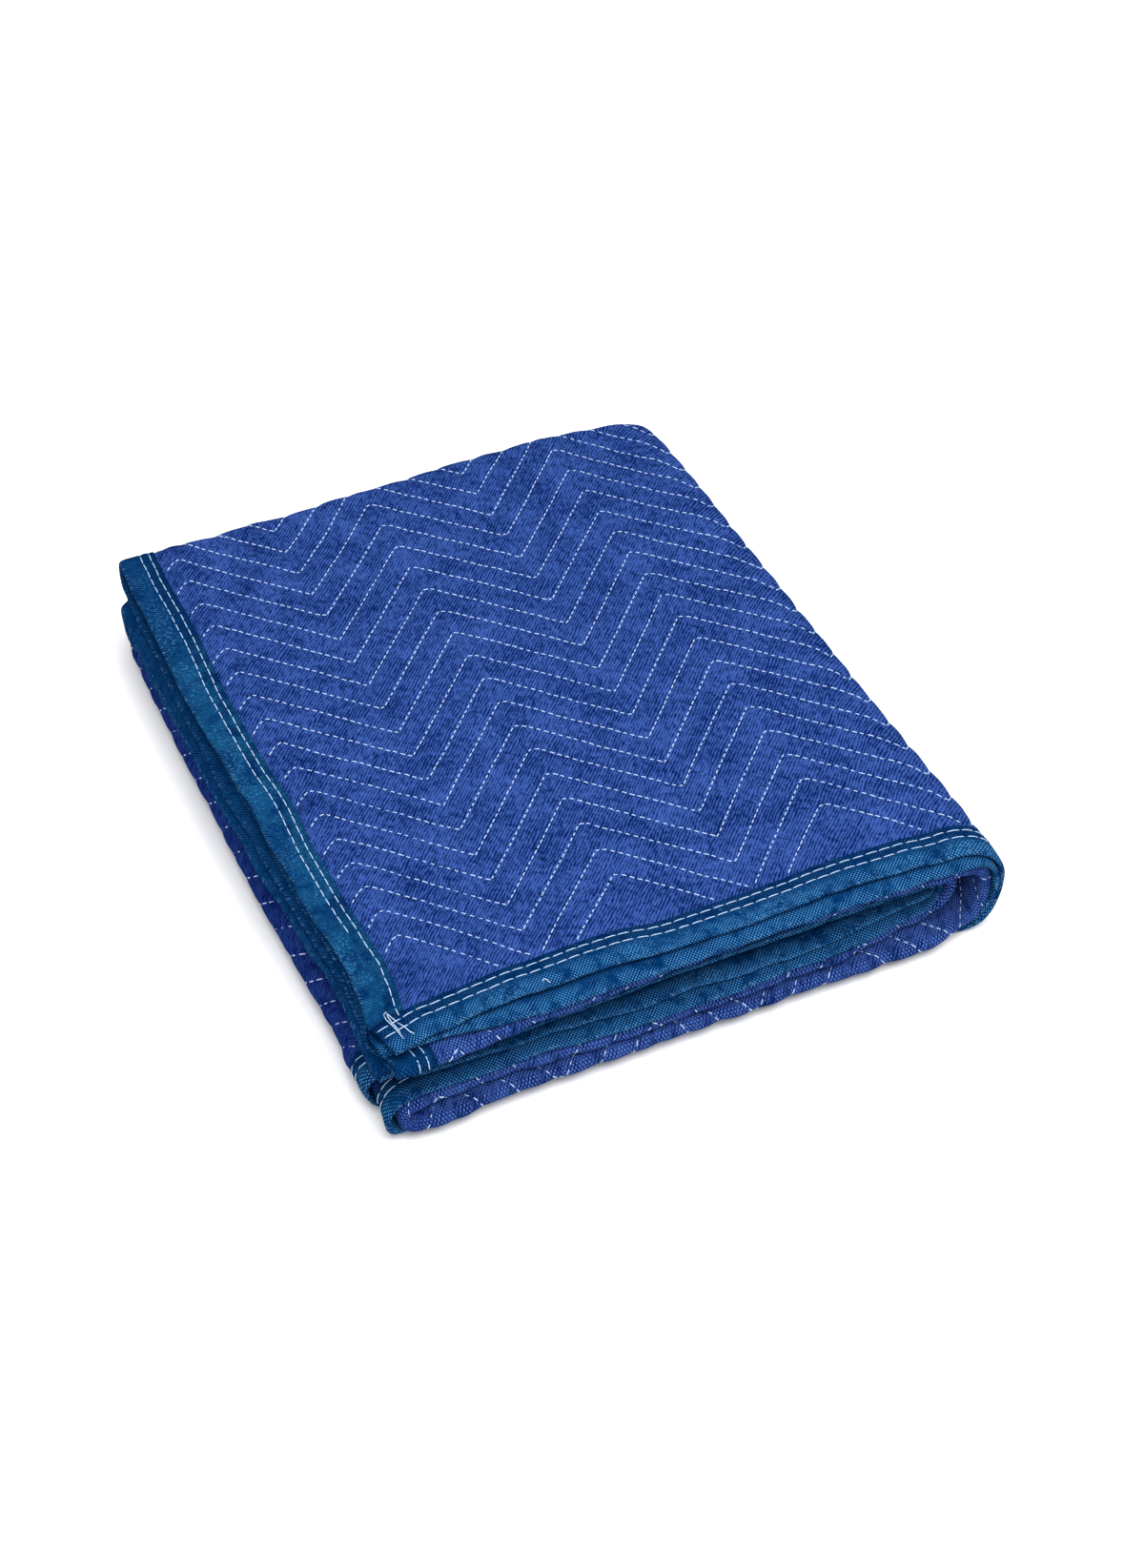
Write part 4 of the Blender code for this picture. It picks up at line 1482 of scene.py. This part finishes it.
class Nodes:
    """Short ways to add and join shader nodes in one tree."""

    def __init__(self, tree: bpy.types.NodeTree) -> None:
        """Keeps the tree."""
        self.tree = tree

    def add(self, kind: str, **settings: object) -> bpy.types.Node:
        """Adds a node.

        Args:
            kind: The node's type.
            **settings: Its attributes, or else the values of inputs of that name.

        Returns:
            The new node.
        """
        node = self.tree.nodes.new(kind)
        for key, value in settings.items():
            if hasattr(node, key):
                setattr(node, key, value)
            else:
                node.inputs[key].default_value = value
        return node

    def join(self, source: bpy.types.NodeSocket, target: bpy.types.NodeSocket) -> None:
        """Links one socket to another."""
        self.tree.links.new(source, target)

    def placed(self, turn: float, scale_x: float, scale_y: float) -> bpy.types.NodeSocket:
        """Turns and scales the cloth coordinates of the surface.

        Args:
            turn: Angle in degrees.
            scale_x: Scale the first way, after the turn.
            scale_y: Scale the other way.

        Returns:
            The turned and scaled coordinates.
        """
        source = self.add("ShaderNodeUVMap", uv_map="cloth")
        turned = self.add("ShaderNodeMapping")
        turned.inputs["Rotation"].default_value = (0.0, 0.0, math.radians(turn))
        scaled = self.add("ShaderNodeMapping")
        scaled.inputs["Scale"].default_value = (scale_x, scale_y, 1.0)
        self.join(source.outputs["UV"], turned.inputs["Vector"])
        self.join(turned.outputs["Vector"], scaled.inputs["Vector"])
        return scaled.outputs["Vector"]

    def grain(self, grain: Grain) -> bpy.types.NodeSocket:
        """Draws noise stretched along a direction of the cloth.

        Args:
            grain: Its direction, fineness and detail.

        Returns:
            A value from 0 to 1.
        """
        node = self.add("ShaderNodeTexNoise", Scale=1.0, Detail=grain.detail, Roughness=0.6)
        self.join(self.placed(grain.turn, grain.fine_x, grain.fine_y), node.inputs["Vector"])
        return node.outputs["Fac"]

    def stepped(self, value: bpy.types.NodeSocket, low: float, high: float) -> bpy.types.NodeSocket:
        """Eases a value from 0 at low to 1 at high.

        Args:
            value: The value.
            low: Where the result is 0, which may be the higher of the two.
            high: Where the result is 1.

        Returns:
            The eased value.
        """
        node = self.add("ShaderNodeMapRange", interpolation_type="SMOOTHSTEP")
        falling = low > high
        node.inputs["From Min"].default_value = min(low, high)
        node.inputs["From Max"].default_value = max(low, high)
        node.inputs["To Min"].default_value = 1.0 if falling else 0.0
        node.inputs["To Max"].default_value = 0.0 if falling else 1.0
        self.join(value, node.inputs["Value"])
        return node.outputs["Result"]

    def maths(self, kind: str, first: object, second: object = 0.0) -> bpy.types.NodeSocket:
        """Adds a Math node.

        Args:
            kind: Its operation.
            first: A socket or a number.
            second: Another, where the operation takes two.

        Returns:
            The result.
        """
        node = self.add("ShaderNodeMath", operation=kind)
        for place, value in enumerate((first, second)):
            if isinstance(value, bpy.types.NodeSocket):
                self.join(value, node.inputs[place])
            else:
                node.inputs[place].default_value = value
        return node.outputs["Value"]

    def product(self, *values: object) -> bpy.types.NodeSocket:
        """Multiplies a socket by others, or by numbers.

        Args:
            *values: The socket first, and then what it is multiplied by.

        Returns:
            The product.
        """
        total = values[0]
        for value in values[1:]:
            total = self.maths("MULTIPLY", total, value)
        return total

    def mixed(self, share: bpy.types.NodeSocket, first: object, second: object) -> bpy.types.NodeSocket:
        """Mixes two colours, each a socket or three numbers.

        Args:
            share: How much of the second shows, from 0 to 1.
            first: The colour below.
            second: The colour above.

        Returns:
            The mixed colour.
        """
        node = self.add("ShaderNodeMix", data_type="RGBA")
        self.join(share, node.inputs["Factor"])
        for socket, value in ((node.inputs[6], first), (node.inputs[7], second)):
            if isinstance(value, bpy.types.NodeSocket):
                self.join(value, socket)
            else:
                socket.default_value = (*value, 1.0)
        return node.outputs[2]

    def summed(self, *parts: tuple[bpy.types.NodeSocket, float]) -> bpy.types.NodeSocket:
        """Adds up sockets, each times a number.

        Args:
            *parts: Each socket with its number.

        Returns:
            The sum.
        """
        total = self.product(*parts[0])
        for socket, weight in parts[1:]:
            total = self.maths("ADD", total, self.product(socket, weight))
        return total

    def attribute(self, name: str) -> bpy.types.NodeSocket:
        """Returns a number kept at each point of the mesh."""
        return self.add("ShaderNodeAttribute", attribute_name=name).outputs["Fac"]

    def raised(self, wave: bpy.types.NodeSocket) -> bpy.types.NodeSocket:
        """Takes a wave that runs from -1 to 1 to one from 0 to 1."""
        return self.maths("ADD", self.product(wave, 0.5), 0.5)

    def split(self, vector: bpy.types.NodeSocket) -> tuple[bpy.types.NodeSocket, bpy.types.NodeSocket]:
        """Takes a vector apart.

        Args:
            vector: The vector.

        Returns:
            Its first two coordinates.
        """
        parts = self.add("ShaderNodeSeparateXYZ")
        self.join(vector, parts.inputs["Vector"])
        return parts.outputs["X"], parts.outputs["Y"]

    def ribs(self, ribs: Ribs) -> bpy.types.NodeSocket:
        """Draws wavering ribs along a direction of the cloth.

        Args:
            ribs: Their direction and pitch.

        Returns:
            A value from 0 between ribs to 1 on them.
        """
        place, _ = self.split(self.placed(ribs.turn, 1.0 / ribs.pitch, 0.25 / ribs.pitch))
        waver = self.grain(Grain(ribs.turn, *RIB_WAVER, detail=1.0))
        turns = self.maths("ADD", self.product(place, math.tau), self.product(waver, RIB_WANDER))
        return self.raised(self.maths("SINE", turns))

    def raise_surface(
        self, shader: bpy.types.Node, height: bpy.types.NodeSocket, strength: float, depth: float
    ) -> None:
        """Raises the shaded surface.

        Args:
            shader: The surface's shader.
            height: The relief, from 0 to 1.
            strength: How strongly it shows.
            depth: How high 1 stands.
        """
        bump = self.add("ShaderNodeBump", Strength=strength, Distance=depth)
        self.join(height, bump.inputs["Height"])
        self.join(bump.outputs["Normal"], shader.inputs["Normal"])

    def beads(self, pitch: float) -> bpy.types.NodeSocket:
        """Returns the raised dots of a twill weave, from 0 to 1."""
        warp, weft = self.split(self.placed(0.0, math.tau / pitch, math.tau / pitch))
        return self.raised(self.product(self.maths("SINE", warp), self.maths("SINE", weft)))


@dataclass(frozen=True)
class PadFinish(Finish):
    """Blue cloth with a fine slanting weave, pale lint and worn folds, and painted shade in its creases, on
    its front folds and on its left turn.
    """

    deep: Colour = (0.0013, 0.010, 0.068)
    pale: Colour = (0.031, 0.072, 0.270)
    lint: Colour = (0.11, 0.18, 0.44)
    # shade and navy are painted shade: shade for the creases and the front folds, navy for the left turn.
    shade: Colour = (0.0008, 0.006, 0.045)
    fold_pale: Colour = (0.085, 0.165, 0.50)
    navy_painted_shade: Colour = (0.0003, 0.004, 0.080)
    ribs: Ribs = Ribs(2.1 * MM)
    yarn: Grain = Grain(45.0, 640.0, 270.0, 3.0)
    heather: Grain = Grain(20.0, 270.0, 170.0, 3.0)
    cloud: Grain = Grain(0.0, 34.0, 30.0)
    weave_weights: tuple[float, ...] = (0.24, 0.50, 0.60, 0.34)
    weave_step: tuple[float, float] = (0.66, 1.02)
    crease: Grain = Grain(-45.0, 330.0, 70.0)
    crease_step: tuple[float, float] = (0.42, 0.30)
    crease_painted_shade: float = 0.6
    specks: Grain = Grain(60.0, 360.0, 170.0)
    specks_step: tuple[float, float] = (0.66, 0.76)
    specks_share: float = 0.55
    wear: Grain = Grain(10.0, 120.0, 60.0)
    wear_step: tuple[float, float] = (0.32, 0.54)
    # Painted shade on the front folds; the pale dots on them are wear.
    fold_shade: float = 0.42
    fold_dots: float = 0.85
    # Painted shade on the left turn, which lies on the packet's shaded left side.
    left_turn_painted_shade: float = 0.5
    relief_weights: tuple[float, ...] = (0.25, 0.5, 0.8, -0.7, 0.2)
    relief: tuple[float, float] = (0.8, 0.5 * MM)

    def build(self) -> bpy.types.Material:
        """Builds the finish's nodes.

        Returns:
            The material.
        """
        material, nodes, shader = self.start()
        ribs = nodes.ribs(self.ribs)
        yarn, heather, cloud = (nodes.grain(grain) for grain in (self.yarn, self.heather, self.cloud))
        weave = nodes.summed(*zip((ribs, yarn, heather, cloud), self.weave_weights))
        colour = nodes.mixed(nodes.stepped(weave, *self.weave_step), self.deep, self.pale)
        crease = nodes.stepped(nodes.grain(self.crease), *self.crease_step)
        # Painted shade in the creases.
        colour = nodes.mixed(nodes.product(crease, self.crease_painted_shade), colour, self.shade)
        specks = nodes.stepped(nodes.grain(self.specks), *self.specks_step)
        colour = nodes.mixed(nodes.product(specks, self.specks_share), colour, self.lint)
        # Painted shade on the front folds.
        fold = nodes.attribute("front_fold")
        colour = nodes.mixed(nodes.product(fold, self.fold_shade), colour, self.shade)
        # Navy painted shade on the left turn.
        turned = nodes.product(nodes.attribute("left_turn"), self.left_turn_painted_shade)
        colour = nodes.mixed(turned, colour, self.navy_painted_shade)
        dots = nodes.stepped(nodes.beads(TWILL_PITCH), *TWILL_DOTS)
        worn = nodes.stepped(nodes.grain(self.wear), *self.wear_step)
        colour = nodes.mixed(nodes.product(dots, worn, fold, self.fold_dots), colour, self.fold_pale)
        nodes.join(colour, shader.inputs["Base Color"])
        height = nodes.summed(*zip((ribs, yarn, heather, crease, dots), self.relief_weights))
        nodes.raise_surface(shader, height, *self.relief)
        return material


@dataclass(frozen=True)
class TapeFinish(Finish):
    """Teal twill tape: worn pale dots at its edge, and painted shade between its rows of stitches and past
    the outer one.
    """

    deep: Colour = (0.0001, 0.0085, 0.046)
    pale: Colour = (0.0016, 0.036, 0.124)
    dot: Colour = (0.062, 0.235, 0.48)
    shade: Colour = (0.0001, 0.006, 0.036)
    lint: Colour = (0.20, 0.38, 0.60)
    brushed: Colour = (0.028, 0.23, 0.42)
    nose_dots: float = 0.95
    flat_dots: float = 0.22
    nap: float = 0.0
    tufts: float = 0.0
    ribs: Ribs = Ribs(1.5 * MM)
    yarn: Grain = Grain(45.0, 800.0, 200.0, 3.0)
    cloud: Grain = Grain(0.0, 55.0, 70.0)
    weave_weights: tuple[float, ...] = (0.26, 0.60, 0.26)
    weave_step: tuple[float, float] = (0.36, 0.78)
    # In millimetres in from the edge: between the rows, past them, and the nose round the edge.
    sewn: tuple[float, float, float, float] = (14.0, 15.5, 21.5, 20.0)
    # Painted shade between the rows of stitches, and past them towards the pad.
    sewn_shade: float = 0.45
    rim: tuple[float, float] = (21.4, 22.2)
    rim_shade: float = 0.6
    nose: tuple[float, float] = (13.0, 6.0)
    wear: Grain = Grain(15.0, 90.0, 80.0, 3.0)
    wear_step: tuple[float, float] = (0.32, 0.56)
    flecks: Grain = Grain(70.0, 330.0, 190.0)
    flecks_step: tuple[float, float] = (0.66, 0.76)
    flecks_share: float = 0.40
    patches: Grain = Grain(0.0, 20.0, 14.0, 1.0)
    patches_step: tuple[float, float] = (0.42, 0.58)
    fluff: Grain = Grain(35.0, 620.0, 420.0)
    fluff_step: tuple[float, float] = (0.52, 0.64)
    fluff_from: tuple[float, float] = (17.0, 9.0)
    fluff_share: float = 0.30
    drifts: Grain = Grain(10.0, 62.0, 46.0)
    drifts_step: tuple[float, float] = (0.38, 0.60)
    frayed: tuple[float, float] = (2.6, 0.9)
    frayed_step: tuple[float, float] = (0.56, 0.66)
    frayed_share: float = 0.25
    relief_weights: tuple[float, ...] = (0.3, 0.6, 0.5, 0.6)
    relief: tuple[float, float] = (0.75, 0.45 * MM)

    def build(self) -> bpy.types.Material:
        """Builds the finish's nodes.

        Returns:
            The material.
        """
        material, nodes, shader = self.start()
        ribs = nodes.ribs(self.ribs)
        yarn, cloud = nodes.grain(self.yarn), nodes.grain(self.cloud)
        weave = nodes.summed(*zip((ribs, yarn, cloud), self.weave_weights))
        colour = nodes.mixed(nodes.stepped(weave, *self.weave_step), self.deep, self.pale)
        inward, top = nodes.attribute("inward"), nodes.attribute("top_leaf")
        rows = nodes.product(nodes.stepped(inward, *self.sewn[:2]), nodes.stepped(inward, *self.sewn[2:]))
        rim = nodes.stepped(inward, *self.rim)
        # Painted shade between the rows and past the outer row.
        painted_shade = nodes.summed((rows, self.sewn_shade), (rim, self.rim_shade))
        colour = nodes.mixed(painted_shade, colour, self.shade)
        dots = nodes.stepped(nodes.beads(TWILL_PITCH), *TWILL_DOTS)
        worn = nodes.stepped(nodes.grain(self.wear), *self.wear_step)
        nose = nodes.stepped(inward, *self.nose)
        some = nodes.summed((nose, self.nose_dots), (worn, self.flat_dots))
        colour = nodes.mixed(nodes.product(dots, worn, some), colour, self.dot)
        flecks = nodes.stepped(nodes.grain(self.flecks), *self.flecks_step)
        colour = nodes.mixed(nodes.product(flecks, top, self.flecks_share), colour, self.dot)
        patches = nodes.stepped(nodes.grain(self.patches), *self.patches_step)
        fluff = nodes.stepped(nodes.grain(self.fluff), *self.fluff_step)
        outer = nodes.stepped(inward, *self.fluff_from)
        colour = nodes.mixed(nodes.product(patches, fluff, top, outer, self.fluff_share), colour, self.dot)
        drifts = nodes.stepped(nodes.grain(self.drifts), *self.drifts_step)
        napped = nodes.product(nodes.attribute("napped"), drifts)
        colour = nodes.mixed(nodes.product(napped, self.nap), colour, self.brushed)
        colour = nodes.mixed(nodes.product(napped, fluff, self.tufts), colour, self.brushed)
        frayed = nodes.product(nodes.stepped(inward, *self.frayed), nodes.stepped(yarn, *self.frayed_step))
        colour = nodes.mixed(nodes.product(frayed, self.frayed_share), colour, self.lint)
        nodes.join(colour, shader.inputs["Base Color"])
        height = nodes.summed(*zip((ribs, yarn, dots, cloud), self.relief_weights))
        nodes.raise_surface(shader, height, *self.relief)
        return material


@dataclass(frozen=True)
class ThreadFinish(Finish):
    """Pale twisted sewing thread."""

    shade: Colour = (0.32, 0.44, 0.62)
    twist: Grain = Grain(30.0, 1500.0, 1500.0)
    twist_step: tuple[float, float] = (0.35, 0.6)

    def build(self) -> bpy.types.Material:
        """Builds the finish's nodes.

        Returns:
            The material.
        """
        material, nodes, shader = self.start()
        twist = nodes.stepped(nodes.grain(self.twist), *self.twist_step)
        nodes.join(nodes.mixed(twist, self.shade, self.colour), shader.inputs["Base Color"])
        return material


# ------------------------------------------------------------------ studio
@dataclass
class Studio:
    """A pale floor, soft light and the camera."""

    centre: tuple[float, float] = MIDDLE
    top: float = 79.7 * MM
    eye: tuple[float, float, float] = (-489.8 * MM, -1561.6 * MM, 1452.6 * MM)
    heading: float = 27.0165
    pitch: float = 45.6185
    roll: float = -1.8228
    lens: float = 69.64
    sensor: float = 36.0
    surroundings: float = 0.75
    key_place: tuple[float, float, float] = (0.05, -0.62, 2.2)
    key_size: float = 2.2
    key_power: float = 77.0
    floor_size: float = 12.0
    floor_drop: float = 0.2 * MM
    floor_finish: Finish = Finish("floor_pale", (0.95, 0.95, 0.95), 0.8)

    def camera(self) -> None:
        """Adds the camera and makes it the scene's."""
        azimuth, down, roll = (math.radians(v) for v in (self.heading, self.pitch, self.roll))
        level = math.cos(down)
        ahead = Vector((math.sin(azimuth) * level, math.cos(azimuth) * level, -math.sin(down)))
        right = ahead.cross(Vector((0, 0, 1))).normalized()
        below = ahead.cross(right)
        side = math.cos(roll) * right + math.sin(roll) * below
        lower = -math.sin(roll) * right + math.cos(roll) * below
        place = Vector((self.eye[0] - self.centre[0], self.eye[1] - self.centre[1], self.eye[2] + self.top))
        turned = Matrix((side, -lower, -ahead)).transposed().to_4x4()
        lens = bpy.data.cameras.new("camera")
        lens.sensor_fit = "VERTICAL"
        lens.sensor_height = self.sensor
        lens.lens = self.lens
        camera = bpy.data.objects.new("camera", lens)
        camera.matrix_world = Matrix.Translation(place) @ turned
        bpy.context.scene.collection.objects.link(camera)
        bpy.context.scene.camera = camera

    def floor(self) -> None:
        """Adds the pale floor."""
        bpy.ops.object.select_all(action="DESELECT")
        bpy.ops.mesh.primitive_plane_add(size=self.floor_size, location=(0, 0, -self.floor_drop))
        floor = bpy.context.object
        floor.name = "floor"
        bpy.ops.object.transform_apply(location=True)
        floor.data.materials.append(self.floor_finish.start()[0])

    def light(self) -> None:
        """Adds the soft key light and the pale surroundings."""
        scene = bpy.context.scene
        scene.view_settings.view_transform = "Standard"
        world = bpy.data.worlds.new("studio")
        scene.world = world
        world.use_nodes = True
        back = world.node_tree.nodes["Background"]
        back.inputs["Color"].default_value = (1.0, 1.0, 1.0, 1.0)
        back.inputs["Strength"].default_value = self.surroundings
        lamp = bpy.data.lights.new("key", "AREA")
        lamp.size = self.key_size
        lamp.energy = self.key_power
        holder = bpy.data.objects.new("key", lamp)
        holder.location = self.key_place
        holder.rotation_euler = (-Vector(self.key_place)).to_track_quat("-Z", "Y").to_euler()
        scene.collection.objects.link(holder)

    def build(self) -> None:
        """Sets up the whole studio."""
        self.camera()
        self.floor()
        self.light()


# ------------------------------------------------------------------ the blanket
@dataclass
class Blanket:
    """The pad, its binding and its thread, each dressed and tied to the frame."""

    cloth: Cloth
    tape_step: float = 3.2 * MM
    hidden_step: float = 16.0 * MM
    past_turn: float = 30.0 * MM
    end_run: float = 60.0 * MM
    plain: Stitch = Stitch()
    slim: Stitch = Stitch(width=0.64 * MM, height=0.68 * MM)
    fine: Stitch = Stitch(width=0.62 * MM, height=0.6 * MM)
    bind_lift: float = 0.1 * MM
    corner_lift: tuple[float, float] = (0.45 * MM, 0.25 * MM)
    pad_finish: PadFinish = PadFinish("royal_blue_cloth", (0.012, 0.04, 0.16), 0.9)
    end_tape: TapeFinish = TapeFinish("teal_tape", (0.002, 0.035, 0.10))
    # The side strips show few pale dots: partly how their twill looks there, partly painted shade of the
    # packet's left side.
    side_tape: TapeFinish = TapeFinish(
        "teal_side_tape", (0.002, 0.03, 0.09), nose_dots=0.1, flat_dots=0.12, nap=0.08, tufts=0.22
    )
    thread_finish: ThreadFinish = ThreadFinish("pale_thread", (0.50, 0.64, 0.85), 0.6)

    def dress(self, piece: bpy.types.Object, material: bpy.types.Material) -> None:
        """Gives a piece its finish, and lets it ride on the frame.

        Args:
            piece: The finished piece.
            material: Its finish.
        """
        piece.data.materials.append(material)
        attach(piece, "root")
        LOG.info("%s: %d faces", piece.name, len(piece.data.polygons))

    def tape_lines(self, low: float, high: float, shown: list[tuple[float, float]]) -> list[float]:
        """Spaces the lines along a strip, close together where it shows.

        Args:
            low: Where the strip starts.
            high: Where it ends.
            shown: Stretches where it shows or turns.

        Returns:
            The places of the lines.
        """
        marks = sorted({low, high, *(mark for pair in shown for mark in pair if low < mark < high)})
        lines = [low]
        for first, last in zip(marks, marks[1:]):
            middle = 0.5 * (first + last)
            fine = any(start <= middle <= end for start, end in shown)
            lines += spaced(first, last, self.tape_step if fine else self.hidden_step)[1:]
        return lines

    def tapes(self) -> list[tuple[EdgeTape, str]]:
        """Lays out the four strips of binding.

        Returns:
            Each strip, and the name of the node that it replaces.
        """
        cloth, deep = self.cloth, self.cloth.packet.length_fold
        side, run = cloth.tape_width + cloth.clearance, self.end_run
        turns = [(deep.starts[i] - self.past_turn, deep.starts[i + 1] + self.past_turn) for i in (1, 3, 5)]
        last = cloth.length - side
        ends = [(side, side + run), (last - run, last)]
        front = self.tape_lines(0.0, cloth.width, [(0.0, cloth.width)])
        left = self.tape_lines(side, last, [(side, deep.starts[2]), *turns, *ends])
        inner = self.tape_lines(side, last, [*turns, *ends])
        strips = (
            ("front_tape", "binding_front", Edge.FRONT, front, FRONT_SWAY),
            ("second_tape", "binding_second", Edge.SECOND, front, STILL),
            ("left_tape", "binding_left", Edge.LEFT, left, LEFT_SWAY),
            ("inner_end_tape", "binding_inner_end", Edge.INNER_END, inner, STILL),
        )
        return [
            (EdgeTape(cloth, name, edge, lines, Seed.TAPE + 3 * number, sway), node)
            for number, (name, node, edge, lines, sway) in enumerate(strips)
        ]

    def pad(self) -> bpy.types.Object:
        """Returns:
            The pad.
        """
        pad = PadSheet(self.cloth).build()
        self.dress(pad, self.pad_finish.build())
        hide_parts("quilted_pad")
        return pad

    def binding(self, pad: bpy.types.Object) -> None:
        """Args:
            pad: The pad that they rest on. Not used.
        """
        end_tape, side_tape = self.end_tape.build(), self.side_tape.build()
        for tape, node in self.tapes():
            piece = tape.build()
            on_end = tape.edge in (Edge.FRONT, Edge.SECOND)
            self.dress(piece, end_tape if on_end else side_tape)
            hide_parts(node)

    def thread(self) -> None:
        """Builds the stitches of the quilting and the binding, and those at the corner."""
        cloth, sewing, finish = self.cloth, Sewing(self.cloth), self.thread_finish.build()
        groups = sewing.quilting_parts()
        for name, stitch in (("quilting_thread_top", self.plain), ("quilting_thread_folds", self.slim)):
            starts, ends = groups[name]
            work = ThreadWork(cloth, name, stitch)
            self.dress(work.build(starts, ends, np.ones(len(starts)), cloth.outer_face), finish)

        def on_tape(across: Array, along: Array) -> Array:
            """Returns the height of the tape's face, which is the same all along it."""
            return np.full_like(across, cloth.tape_face)

        work = ThreadWork(cloth, "binding_thread", self.slim, lift=self.bind_lift)
        self.dress(work.build(*sewing.binding_stitches(), on_tape), finish)
        starts, ends = sewing.corner_stitches()
        lift, dive = self.corner_lift
        work = ThreadWork(cloth, "corner_thread", self.fine, lift=lift, dive=dive)
        self.dress(work.build(starts, ends, np.ones(len(starts)), on_tape), finish)

    def build(self) -> None:
        """Builds every piece."""
        self.binding(self.pad())
        self.thread()


def main() -> None:
    """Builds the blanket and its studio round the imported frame."""
    logging.basicConfig(level=logging.INFO, format="%(message)s")
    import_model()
    Studio().build()
    Blanket(Cloth(Packet(), Quilting())).build()


if __name__ == "__main__":
    main()
